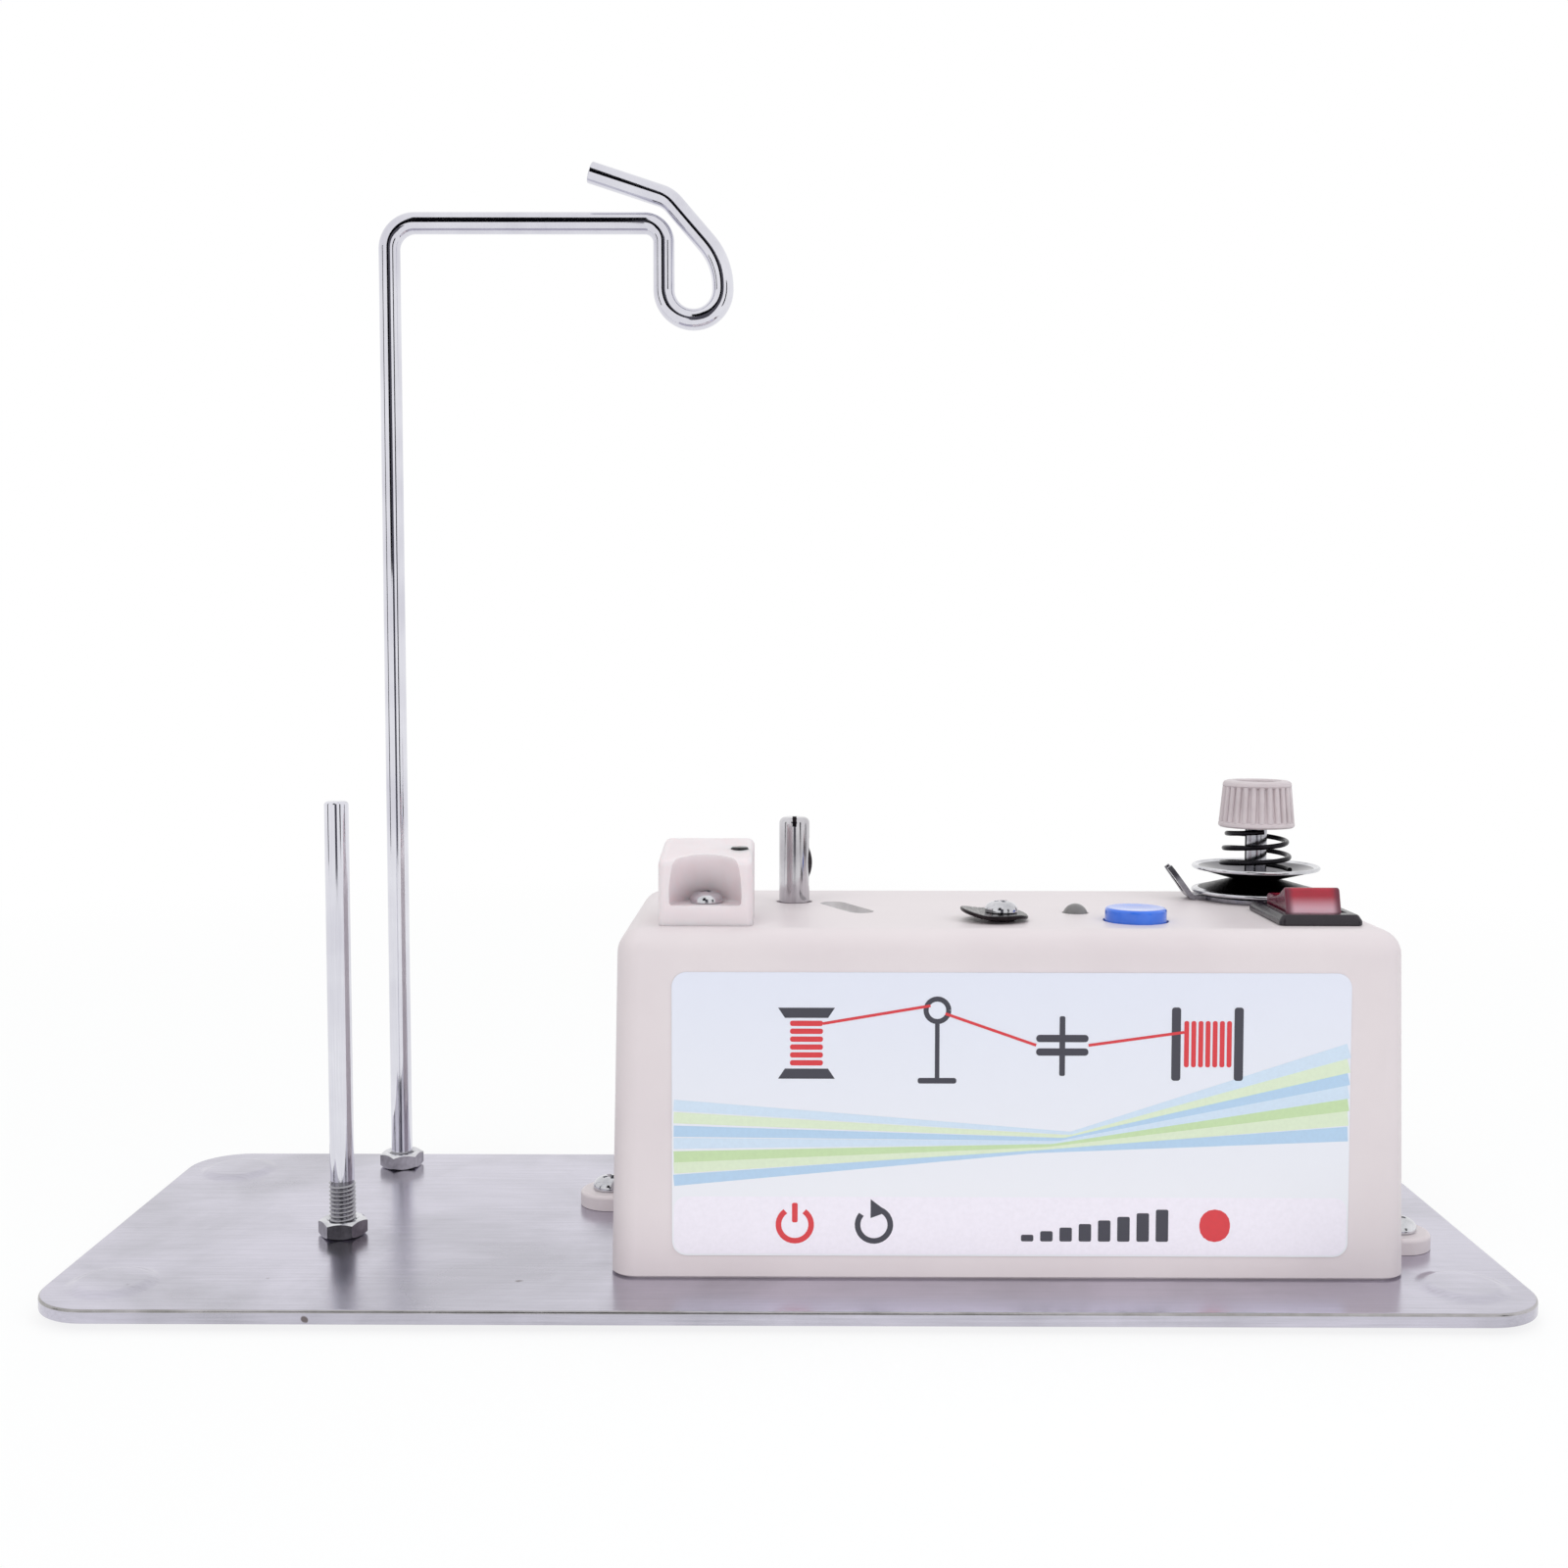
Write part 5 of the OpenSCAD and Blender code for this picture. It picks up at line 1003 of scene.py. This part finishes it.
# bobbin spindle and its leaf spring
def addSpindle():
    pin = {"r": 3.0, "tip": 82.5, "crown": 1.2, "low": 56.7, "shank": 3.2, "shoulder": 65.4, "slitW": 0.8,
           "slitDeep": 1.7, "slitPast": 0.6, "grooveW": 1.6, "grooveDeep": 1.6, "grooveZ": 68.7, "grooveL": 9.6,
           "leafT": 0.6, "bulge": 0.5, "boreR": 1.16, "boreTop": 64.7, "rounding": 0.08}
    x, y = place["spindle"]
    r, tip, crown, low, shank, shoulder = (pin[k] for k in ("r", "tip", "crown", "low", "shank", "shoulder"))
    dome = arcPoints((r - crown, tip - crown), crown, 0, pi / 2, 7)
    form = bmesh.new()
    addLathe(form, [(0, low), (shank, low), (shank, shoulder - 0.15), (shank - 0.15, shoulder), (r, shoulder), (r, 70),
                    (r, 76)] + dome + [(0, tip)], (x, y), 64)
    cut = bmesh.new()
    slit = pin["slitW"] / 2
    addBox(cut, (x - slit, y - 5, tip - pin["slitDeep"]), (x + slit, y + pin["slitPast"], tip + 2))
    half, z0, z1 = pin["grooveW"] / 2, pin["grooveZ"], pin["grooveZ"] + pin["grooveL"]
    addBox(cut, (x + r - pin["grooveDeep"], y - half, z0), (x + 6, y + half, z1))
    addRod(cut, pin["boreR"], low - 6.7, pin["boreTop"], (x, y))

    def inShadedCuts(p, normal):     # painted shade: the notch's walls and the spring's groove take the blue-black leaf finish
        inNotch = abs(p.x - x) < slit + 0.05 and p.z > tip - pin["slitDeep"] - 0.05 and p.y < y + pin["slitPast"] + 0.05
        inGroove = abs(p.y - y) < half + 0.05 and z0 - 0.1 < p.z < z1 + 0.1 and x < p.x < x + r - 0.6
        return inNotch and abs(normal.y) + abs(normal.x) > 0.6 or inGroove

    addPiece("bobbin_spindle_ground", cutAway(meshFrom(form, "spindle"), cut, "spindle"), "spindle", "spindle",
             ("bobbin_spindle",), 32, pin["rounding"], 2, other=("leaf",), where=inShadedCuts)
    foot, reach = r - pin["grooveDeep"] + pin["leafT"] + 0.02, r + pin["bulge"]
    w, h = half - 0.05, pin["leafT"] / 2
    form = bmesh.new()
    loops = []
    for t in sweep(0, 1, 24):     # bowed leaf, both ends tucked into the groove
        px, pz = x + foot + (reach - foot) * sin(pi * t) - h, z0 + pin["grooveL"] * t
        loops.append([(px + h, y - w + 0.15, pz), (px + h, y + w - 0.15, pz), (px + h - 0.12, y + w, pz),
                      (px - h, y + w, pz), (px - h, y - w, pz), (px + h - 0.12, y - w, pz)])
    addLoft(form, loops)
    addPiece("spindle_leaf_spring", meshFrom(form, "leaf"), "spindle", "leaf", ("spindle_spring",), 30)


addSpindle()
print("block and spindle done")


# thread cutter, light and button
def addCutter():
    disc = {"r": 6.2, "t": 0.7, "lift": 0.8, "left": 1.0, "right": -0.5, "flat": 3.0, "edge": 0.18, "hubR": 2.5}
    cx, cy = place["cutter"]
    shift = place["cutterScrew"][0] - cx
    base = level["top"] + disc["lift"]

    def bend(x):     # level round the screw, then up towards the left and down towards the right
        side = -1 if x < shift else 1
        over = max(abs(x - shift) - disc["flat"], 0.0)
        return (disc["left"] if side < 0 else disc["right"]) * (over / (disc["r"] - side * shift - disc["flat"])) ** 1.3

    form = bmesh.new()
    r, t, e = disc["r"], disc["t"], disc["edge"]
    face = [0, 0.8, 1.6, 2.4, 3.2, 4.0, 4.7, 5.4, r - e]     # rings that let the sheet bend
    rings = [(ring, 0) for ring in face] + [(r, e), (r, t - e)] + [(ring, t) for ring in face[::-1]]
    rows = []
    for ring, z in rings:
        angles = sweep(0, 2 * pi, 64)[:-1] if ring else [0]
        rows.append([(cx + ring * cos(a), cy + ring * sin(a), base + z + bend(ring * cos(a))) for a in angles])
    addLoft(form, rows)
    addRod(form, disc["hubR"], level["top"] + 0.01, base + 0.3, place["cutterScrew"], 40)
    addPiece("thread_cutter_disc", meshFrom(form, "cutter"), "base", "cutter", ("cutter_disc",), 50)


addCutter()


def addLight():
    led = {"r": 2.4, "h": 1.7, "flangeR": 2.9, "wireR": 0.25, "wireLow": 47.8, "pitch": 2.54}
    top, under = level["top"], level["under"]
    r, flange = led["r"], led["flangeR"]
    dome = arcPoints((0, top + led["h"] - r), r, 0, pi / 2, 12)
    form = bmesh.new()
    addLathe(form, [(0, under - 1), (flange, under - 1), (flange, under - 0.03), (r, under - 0.03)] + dome,
             place["led"], 48)
    for side in (-0.5, 0.5):
        wire = (place["led"][0] + side * led["pitch"], place["led"][1])
        addRod(form, led["wireR"], led["wireLow"], under - 0.8, wire, 12)
    addPiece("indicator_led_dome", meshFrom(form, "led"), "base", "led", ("indicator_led",))


addLight()


def addButton():
    cap = {"r": 5.6, "h": 2.4, "edge": 0.6, "dish": 0.2, "flange": 1.5, "flangeT": 1.5, "stemR": 2.5, "stemLow": 56.3}
    top, under = level["top"] + cap["h"], level["under"]
    r, e, skirt, low = cap["r"], cap["edge"], cap["r"] + cap["flange"], level["under"] - cap["flangeT"]
    edge = arcPoints((r - e, top - e), e, 0, pi / 2, 6)
    face = [(r * share, top - cap["dish"] * deep) for share, deep in ((0.76, 0.15), (0.55, 0.5), (0.28, 0.85), (0, 1))]
    form = bmesh.new()
    addLathe(form, [(0, cap["stemLow"]), (cap["stemR"], cap["stemLow"]), (cap["stemR"], low), (skirt - 0.2, low),
                    (skirt, low + 0.2), (skirt, under - 0.02), (r, under - 0.02)] + edge + face, place["button"], 64)
    addPiece("start_button_cap", meshFrom(form, "button"), "button", "button", ("start_button",), 40)


addButton()


# rocker switch: bezel with its well, and the rocker
def addRocker():
    switch = {"w": 15.0, "l": 21.0, "bodyW": 13.7, "bodyL": 19.9, "bodyD": 13.0, "wellW": 10.7, "wellL": 14.8,
              "wellLow": 57.1, "keyW": 10.1, "keyEdge": 0.4, "tilt": 13.0, "pivot": 64.5, "pinR": 0.6, "pinL": 12.5,
              "pinFit": 0.05, "pinRoom": 0.35, "valley": 5.069,
              "keyRounds": (0.5, 0.5, 0.8, 3.0, 0.7, 12.0, 0.7, 3.0, 0.8),
              "keySide": ((5.0, -3.0), (6.3, -1.0), (6.3, 1.8), (5.793, 6.469))}     # foot, low, shoulder, raised end
    rx, ry = place["rocker"]
    top = level["top"]
    form = bmesh.new()
    loops = []
    for inset, z, r in ((0.25, 0, 0.9), (0, 0.2, 1.0), (0, 0.75, 1.0), (0.12, 1.05, 1.0), (0.62, 1.8, 0.8),
                        (0.9, 1.97, 0.6), (1.15, 2.0, 0.5)):
        loops.append(atLevel(roundRect(switch["w"] - 2 * inset, switch["l"] - 1.2 * inset, r, (rx, ry), 5), top + z))
    addLoft(form, loops)
    addSlab(form, roundRect(switch["bodyW"], switch["bodyL"], 0.4, (rx, ry), 3), top - switch["bodyD"], top + 0.5, 0.3)
    cut = bmesh.new()
    loops = []
    for grow, z in ((0, switch["wellLow"]), (0, top + 1.6), (0.12, top + 1.9), (0.4, top + 2.1), (0.4, top + 6)):
        well = roundRect(switch["wellW"] + 2 * grow, switch["wellL"] + 2 * grow, 0.3 + grow, (rx, ry), 3)
        loops.append(atLevel(well, z))
    addLoft(cut, loops)
    spin = Matrix.Translation((rx, ry, switch["pivot"])) @ Matrix.Rotation(pi / 2, 4, "Y")
    r, end = switch["pinR"], switch["pinL"] / 2
    addRod(cut, r + switch["pinFit"], -end - switch["pinRoom"], end + switch["pinRoom"], steps=24, spin=spin)
    addPiece("rocker_bezel_moulded", cutAway(meshFrom(form, "bezel"), cut, "bezel"), "base", "bezel", ("rocker_frame",),
             36)

    # the key seen from its side, level, with a valley between its ends
    half = list(switch["keySide"])
    outline = [(-half[0][0], half[0][1])] + half + [(0, switch["valley"])] + [(-a, b) for a, b in half[:0:-1]]
    side = roundOutline(outline, switch["keyRounds"], 7)
    along = (Matrix.Translation((rx, ry, switch["pivot"])) @ Matrix.Rotation(radians(-switch["tilt"]), 4, "X")
             @ Matrix(((0, 0, 1, -switch["keyW"] / 2), (1, 0, 0, 0), (0, 1, 0, 0), (0, 0, 0, 1))))
    form = bmesh.new()
    addSlab(form, side, 0, switch["keyW"], switch["keyEdge"], switch["keyEdge"], 4, along)
    addRod(form, r, -end, end, steps=20, spin=spin)
    addPiece("rocker_key_moulded", meshFrom(form, "key"), "rocker", "rocker", ("rocker_key",), 40)


addRocker()
print("controls done")


# thread tension unit
tension = {"bracketR": 10.8, "bracketT": 1.0, "reach": 13.3, "armW": 5.0, "armL": 7.6, "armAngle": 54.0, "bendR": 1.6,
           "holeR": 1.0, "holeIn": 1.9, "neckSet": 0.9, "tipTaper": 0.35,
           "level": 0.07, "bow": 1.08,     # a disc's slope: how much of it stays level, and its curve
           "discR": 12.5, "discT": 0.5, "dish": 2.1, "flatR": 4.5, "bore": 2.35, "bead": 0.38, "lowerFlat": 69.3,
           "upperFlat": 69.85, "hem": 1.1, "springWire": 0.5, "springLow": 6.9, "springHigh": 5.5, "springZ": 71.53,
           "springL": 8.12, "turns": 2.75, "travel": 2.3, "washerZ": 80.55, "washerT": 1.0, "washerR": 6.0, "hole": 2.3,
           "nutZ": 80.27, "nutH": 9.3, "nutLow": 7.4, "nutHigh": 6.7, "recess": 1.3, "skirt": 1.1, "dishR": 4.5,
           "dishDeep": 2.5, "ribs": 26, "ribR": 0.56, "postR": 2.13, "postLow": 58.0, "postTop": 86.87, "collarR": 4.48,
           "collarLow": 66.8, "collarTop": 69.28, "slot": 1.1, "slotLow": 70.9, "postEdge": 0.1}


def addBracket():
    t = tension
    x, y = place["tension"]
    top = level["top"]
    w = t["armW"] / 2
    start = asin(w / t["bracketR"])
    neck = -t["reach"] + t["neckSet"]
    outline = [(neck, w), (neck, -w)] + arcPoints((0, 0), t["bracketR"], -pi + start, pi - start, 72)
    form = bmesh.new()
    spin = Matrix.Translation((x, y, top))
    addSlab(form, outline, 0, t["bracketT"], 0.12, 0.2, 3, spin)
    a = radians(t["armAngle"])
    path = arcPoints((neck + 0.05, 0.5 + t["bendR"]), t["bendR"], -pi / 2, -pi / 2 - a, 8)
    end, arm = path[-1], t["armL"] - t["neckSet"]
    path += [(end[0] - arm * cos(a) * k / 6, end[1] + arm * sin(a) * k / 6) for k in range(1, 7)]
    loops = []
    for i, p in enumerate(path):     # the arm narrows to a rounded tip
        ahead = Vector(path[min(i + 1, len(path) - 1)]) - Vector(path[max(i - 1, 0)])
        side = Vector((-ahead.y, ahead.x)).normalized() * t["bracketT"] / 2
        far = max(i - 11, 0) / 3
        half = w * (1 - t["tipTaper"] * far * far)
        under, over = Vector(p) - side, Vector(p) + side
        loops.append([(under.x, -half, under.y), (under.x, half, under.y),
                      (over.x, half, over.y), (over.x, -half, over.y)])
    addLoft(form, turned(loops, spin))
    cut = bmesh.new()
    hole = (path[-1][0] + t["holeIn"] * cos(a), 0, path[-1][1] - t["holeIn"] * sin(a))
    addRod(cut, t["holeR"], -4, 4, spin=spin @ Matrix.Translation(hole) @ Matrix.Rotation(a - pi / 2, 4, "Y"))
    addRod(cut, t["hole"], top - 1, top + 2, (x, y))
    addPiece("tension_bracket_pressed", cutAway(meshFrom(form, "bracket"), cut, "bracket"), "base", "bracket",
             ("tension_bracket",), 34)


addBracket()


# a pressed disc: flat hub, soft S to the slope, and a rolled rim that takes a painted highlight; way is -1 for the
# lower disc
def pressedDisc(flatZ, way):
    t = tension
    half, bead = t["discT"] / 2, t["bead"]
    start, end = t["flatR"] - 0.6, t["discR"] - bead
    middle = []
    for k in range(19):
        slope = max(k / 18 - t["level"], 0) / (1 - t["level"])
        middle.append((start + (end - start) * k / 18, flatZ + half + way * t["dish"] * slope ** t["bow"]))
    rim = middle.pop()
    inner, high = t["bore"] + 0.1, flatZ + t["discT"]
    lower = [(t["bore"], flatZ + 0.1), (inner, flatZ)] + [(r, z - half) for r, z in middle]
    hem = arcPoints(rim, bead, -2.4, 2.4, 14)
    upper = [(r, z + half) for r, z in middle[::-1]] + [(inner, high), (t["bore"], high - 0.1)]
    return lower + hem + upper


def addDiscs():
    t = tension
    x, y = place["tension"]

    def discShadeAndHighlight(way):     # painted shade on the running faces between the discs, and a painted highlight on the hems from the bright nickel finish
        def kind(p, normal):
            r = ((p.x - x) ** 2 + (p.y - y) ** 2) ** 0.5
            return 2 if r > t["discR"] - t["hem"] else normal.z * way < -0.5
        return kind

    for name, body, node, flat, way in (
            ("lower_tension_disc", "base", "lower_tension_disc", t["lowerFlat"], -1),
            ("upper_tension_disc", "upper_disc", "upper_tension_disc", t["upperFlat"], 1)):
        form = bmesh.new()
        addLathe(form, pressedDisc(flat, way), (x, y), 96, closed=True)
        addPiece(name + "_pressed", meshFrom(form, name), body, "disc", (node,), 40,
                 other=("discPaintedShade", "screw"), where=discShadeAndHighlight(way))


addDiscs()


def addSpring():
    t = tension
    mesh = growMesh("spring", coils, {
        "Low radius": t["springLow"] * mm, "High radius": t["springHigh"] * mm, "Turns": t["turns"],
        "Height": t["springL"] * mm, "Steps a turn": 48, "Wire radius": t["springWire"] * mm, "Wire sides": 16,
        "Finish": finish["spring"]})
    form = bmesh.new()
    addMesh(form, mesh, place["tension"] + (t["springZ"],))
    spring = addPiece("tension_spring_coil", meshFrom(form, "spring"), "upper_disc", "spring", ("tension_spring",),
                      50)
    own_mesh(spring)


addSpring()


def addThumbNut():
    t = tension
    x, y = place["tension"]
    form = bmesh.new()
    z, w, h, hole = t["washerZ"], t["washerR"], t["washerT"], t["hole"]
    addLathe(form, [(hole, z + 0.1), (hole + 0.1, z), (w - 0.15, z), (w, z + 0.15), (w, z + h - 0.15),
                    (w - 0.15, z + h), (hole + 0.1, z + h), (hole, z + h - 0.1)], (x, y), 64, closed=True)
    addPiece("tension_washer_flat", meshFrom(form, "washer"), "washer", "bracket", ("tension_washer",),
             40)

    form = bmesh.new()
    z0, z1 = t["nutZ"], t["nutZ"] + t["nutH"]
    low, high, skin = t["nutLow"], t["nutHigh"], t["ribR"] * 1.25
    inner, dish, deep = low - t["skirt"], t["dishR"], z1 - t["dishDeep"]
    foot = [(hole, z0 + t["recess"]), (inner, z0 + t["recess"]), (inner, z0 + 0.15), (inner + 0.15, z0),
            (low - 0.3, z0), (low, z0 + 0.3), (low, z0 + 0.8), (low - 0.2, z0 + 1.05), (low - skin, z0 + 1.25)]
    collar = [(high - skin, z1 - 1.45), (high - 0.15, z1 - 1.2), (high, z1 - 0.95), (high - 0.08, z1 - 0.5),
              (high - 0.35, z1 - 0.15), (high - 0.8, z1)]
    hollow = [(dish + 0.3, z1), (dish, z1 - 0.3), (dish - 0.1, deep + 0.3), (dish - 0.5, deep), (hole, deep)]
    addLathe(form, foot + collar + hollow, (x, y), 96, closed=True)
    mesh = growMesh("ribs", ribs, {
        "Count": t["ribs"], "Low radius": (low - t["ribR"] - 0.06) * mm, "High radius": (high - t["ribR"] - 0.02) * mm,
        "Height": (t["nutH"] - 2.2) * mm, "Rib radius": t["ribR"] * mm, "Finish": finish["thumbNut"]})
    addMesh(form, mesh, (x, y, z0 + 1.0))
    addPiece("tension_thumb_nut", meshFrom(form, "thumbNut"), "thumb_nut", "thumbNut", ("tension_nut",),
             40)


addThumbNut()


def addPost():
    t = tension
    x, y = place["tension"]
    r, low, top, wide, z0, z1 = (t[k] for k in ("postR", "postLow", "postTop", "collarR", "collarLow", "collarTop"))
    collar = [(r, z0), (wide - 0.13, z0), (wide, z0 + 0.13), (wide, z1 - 0.13), (wide - 0.13, z1), (r, z1)]
    form = bmesh.new()
    addLathe(form, [(0, low), (r - 0.4, low), (r, low + 0.4)] + collar     # 52 steps put no point on the slot's wall
             + [(r, 75), (r, top - 0.5), (r - 0.4, top), (0, top)], (x, y), 52)
    cut = bmesh.new()
    addBox(cut, (x - 5, y - t["slot"] / 2, t["slotLow"]), (x + 5, y + t["slot"] / 2, top + 5))
    addPiece("tension_post_slotted", cutAway(meshFrom(form, "post"), cut, "post"), "base", "post", ("tension_post",),
             34, t["postEdge"], 2)


addPost()
print("tension unit done")


# power inlet in the back wall
def addInlet():
    jack = {"flangeR": 5.5, "flangeT": 1.5, "face": 32.3, "r": 4.0, "bore": 2.75, "deep": 11.0, "length": 13.0,
            "pin": 1.0, "pinBack": 1.5}
    ix, iz = place["inlet"]
    spin = Matrix.Translation((ix, jack["face"], iz)) @ Matrix.Rotation(pi / 2, 4, "X")
    form = bmesh.new()
    wide, t, r, bore, deep, end = (jack[k] for k in ("flangeR", "flangeT", "r", "bore", "deep", "length"))
    outside = [(0, end), (r - 0.3, end), (r, end - 0.3), (r, t), (wide - 0.1, t), (wide, t - 0.1), (wide, 0.5),
               (wide - 0.15, 0.15), (wide - 0.5, 0)]
    inside = [(bore + 0.5, 0), (bore + 0.15, 0.12), (bore, 0.5), (bore, deep), (0, deep)]
    addLathe(form, outside + inside, steps=64, spin=spin)
    addPiece("power_inlet_body", meshFrom(form, "inlet"), "base", "inlet", ("power_socket",), 36)
    form = bmesh.new()
    p, back = jack["pin"], jack["pinBack"]
    addLathe(form, [(0, back), (p * 0.45, back), (p * 0.85, back + 0.25), (p, back + 0.8), (p, deep), (0, deep)],
             steps=32, spin=spin)
    addPiece("power_inlet_pin", meshFrom(form, "inletPin"), "base", "screw", ())


addInlet()


# carried-over nodes inside the housing take their real finishes
insideFinish = {
    "spindle_bush": "bronze", "motor_can": "motor", "motor_cap": "nylon", "motor_terminals": "brass",
    "motor_shaft": "spindle", "motor_plate": "bracket", "motor_screws": "screw", "motor_plate_screws": "screw",
    "button_switch": "bezel", "control_board": "board", "board_screws": "screw", "rocker_terminals": "brass",
    "tension_post_nut": "nut", "socket_nut": "nut"}
for node, name in insideFinish.items():
    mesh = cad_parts[node].data
    mesh.materials.clear()
    mesh.materials.append(finish[name])


# floor, world and lamps
def bareTree(owner):
    owner.use_nodes = True
    owner.node_tree.nodes.clear()
    return owner.node_tree


# 1 for what the camera sees, straight or in a reflection
def seenShare(tree):
    path = addNode(tree, "ShaderNodeLightPath").outputs
    share = path["Is Camera Ray"]
    for other in ("Is Glossy Ray", "Is Transmission Ray"):
        share = addNode(tree, "ShaderNodeMath", {0: share, 1: path[other]}, {"operation": "MAXIMUM"}).outputs[0]
    return share


def flatSheet(name, w, h, spot, material):
    mesh = bpy.data.meshes.new(name)
    corners = atLevel(rectangle((-w / 2, -h / 2), (w / 2, h / 2)), 0)
    mesh.from_pydata([spot @ Vector(p) for p in corners], [], [(0, 1, 2, 3)])
    mesh.materials.append(material)
    return linkObject(name, mesh)


def addStage():
    room = {"floor": 6.0, "floorZ": -0.0002, "whiteShare": 0.8, "ambient": 0.55, "fadeFrom": 0.2, "fadeTo": 0.6}
    material = bpy.data.materials.new("matt_white_paper")
    tree = bareTree(material)
    paper = addNode(tree, "ShaderNodeBsdfDiffuse", {"Color": toLinear("#f8f8f8")})
    white = addNode(tree, "ShaderNodeEmission", {"Color": (1, 1, 1, 1), "Strength": 1.0})
    coords = addNode(tree, "ShaderNodeTexCoord").outputs["Object"]
    away = addNode(tree, "ShaderNodeVectorMath", {0: coords}, {"operation": "LENGTH"})
    # far from the object the paper is plain white, so no horizon shows
    fade = addNode(tree, "ShaderNodeMapRange", {
        "Value": away.outputs["Value"], "From Min": room["fadeFrom"], "From Max": room["fadeTo"],
        "To Min": room["whiteShare"], "To Max": 1.0})
    share = addNode(tree, "ShaderNodeMath", {0: seenShare(tree), 1: fade.outputs[0]}, {"operation": "MULTIPLY"})
    mix = addNode(tree, "ShaderNodeMixShader", {0: share.outputs[0], 1: paper.outputs[0], 2: white.outputs[0]})
    addNode(tree, "ShaderNodeOutputMaterial", {"Surface": mix.outputs[0]})
    floor = flatSheet("floor", room["floor"], room["floor"], Matrix.Translation((0, 0, room["floorZ"])), material)

    scene.world = bpy.data.worlds.new("studio")
    tree = bareTree(scene.world)
    strength = addNode(tree, "ShaderNodeMapRange", {"Value": seenShare(tree), "To Min": room["ambient"], "To Max": 1.0})
    sky = addNode(tree, "ShaderNodeBackground", {"Color": (1, 1, 1, 1), "Strength": strength.outputs[0]})
    addNode(tree, "ShaderNodeOutputWorld", {"Surface": sky.outputs[0]})

    # each lamp's name, place, aim, size, power and colour
    lamps = (("keyLamp", (-0.55, -0.75, 1.05), (0.0, 0.0, 0.05), (0.8, 0.8), 4.2, (1, 1, 1)),
             ("fillLamp", (0.85, -0.5, 0.75), (0.05, 0.0, 0.05), (0.8, 0.8), 3.0, (0.92, 0.94, 1.0)),
             ("topLamp", (0.05, 0.35, 1.2), (0.03, 0.0, 0.05), (0.9, 0.9), 4.2, (0.92, 1.0, 0.985)),
             ("lowLamp", (-0.05, -1.2, 0.22), (0.0, 0.0, 0.03), (0.7, 0.7), 1.7, (1, 1, 1)),
             # light that the polished plate throws back on to the housing's foot
             ("plateGlow", (0.03, -0.044, 0.0075), (0.03, -0.03, 0.011), (0.125, 0.007), 0.0016, (1, 0.95, 0.95)))
    for name, at, to, size, power, tint in lamps:
        data = bpy.data.lights.new(name, "AREA")
        data.shape, data.size, data.size_y, data.energy, data.color = "RECTANGLE", *size, power, tint
        lamp = linkObject(name, data)
        turn = (Vector(to) - Vector(at)).to_track_quat("-Z", "Y").to_matrix().to_4x4()
        lamp.matrix_world = Matrix.Translation(at) @ turn
        lamp.visible_glossy = lamp.visible_camera = False

    # dark cards that only reflections see: they draw the dark lines in chrome and steel
    cards = (("cardRight", (0.55, -0.55, 0.12), 0.16, 0.6, "#1c1c20"),
             ("cardLeft", (-0.75, -0.25, 0.12), 0.12, 0.6, "#2c2c30"),
             ("cardCamera", (0.02, -0.62, 0.16), 0.22, 0.5, "#55545c"),
             ("cardStand", (-0.175, -0.62, 0.55), 0.25, 0.76, "#0c0c10"))
    for name, at, w, h, tone in cards:
        material = bpy.data.materials.new("card_" + name)
        tree = bareTree(material)
        glow = addNode(tree, "ShaderNodeEmission", {"Color": toLinear(tone), "Strength": 1.0})
        addNode(tree, "ShaderNodeOutputMaterial", {"Surface": glow.outputs[0]})
        face = Vector((-at[0], -at[1], 0))     # towards the object, upright
        turn = face.to_track_quat("Z", "Y").to_matrix().to_4x4()
        card = flatSheet(name, w, h, Matrix.Translation(at) @ turn, material)
        card.visible_camera = card.visible_diffuse = card.visible_shadow = card.visible_transmission = False
    scene.view_settings.view_transform = "Standard"


addStage()
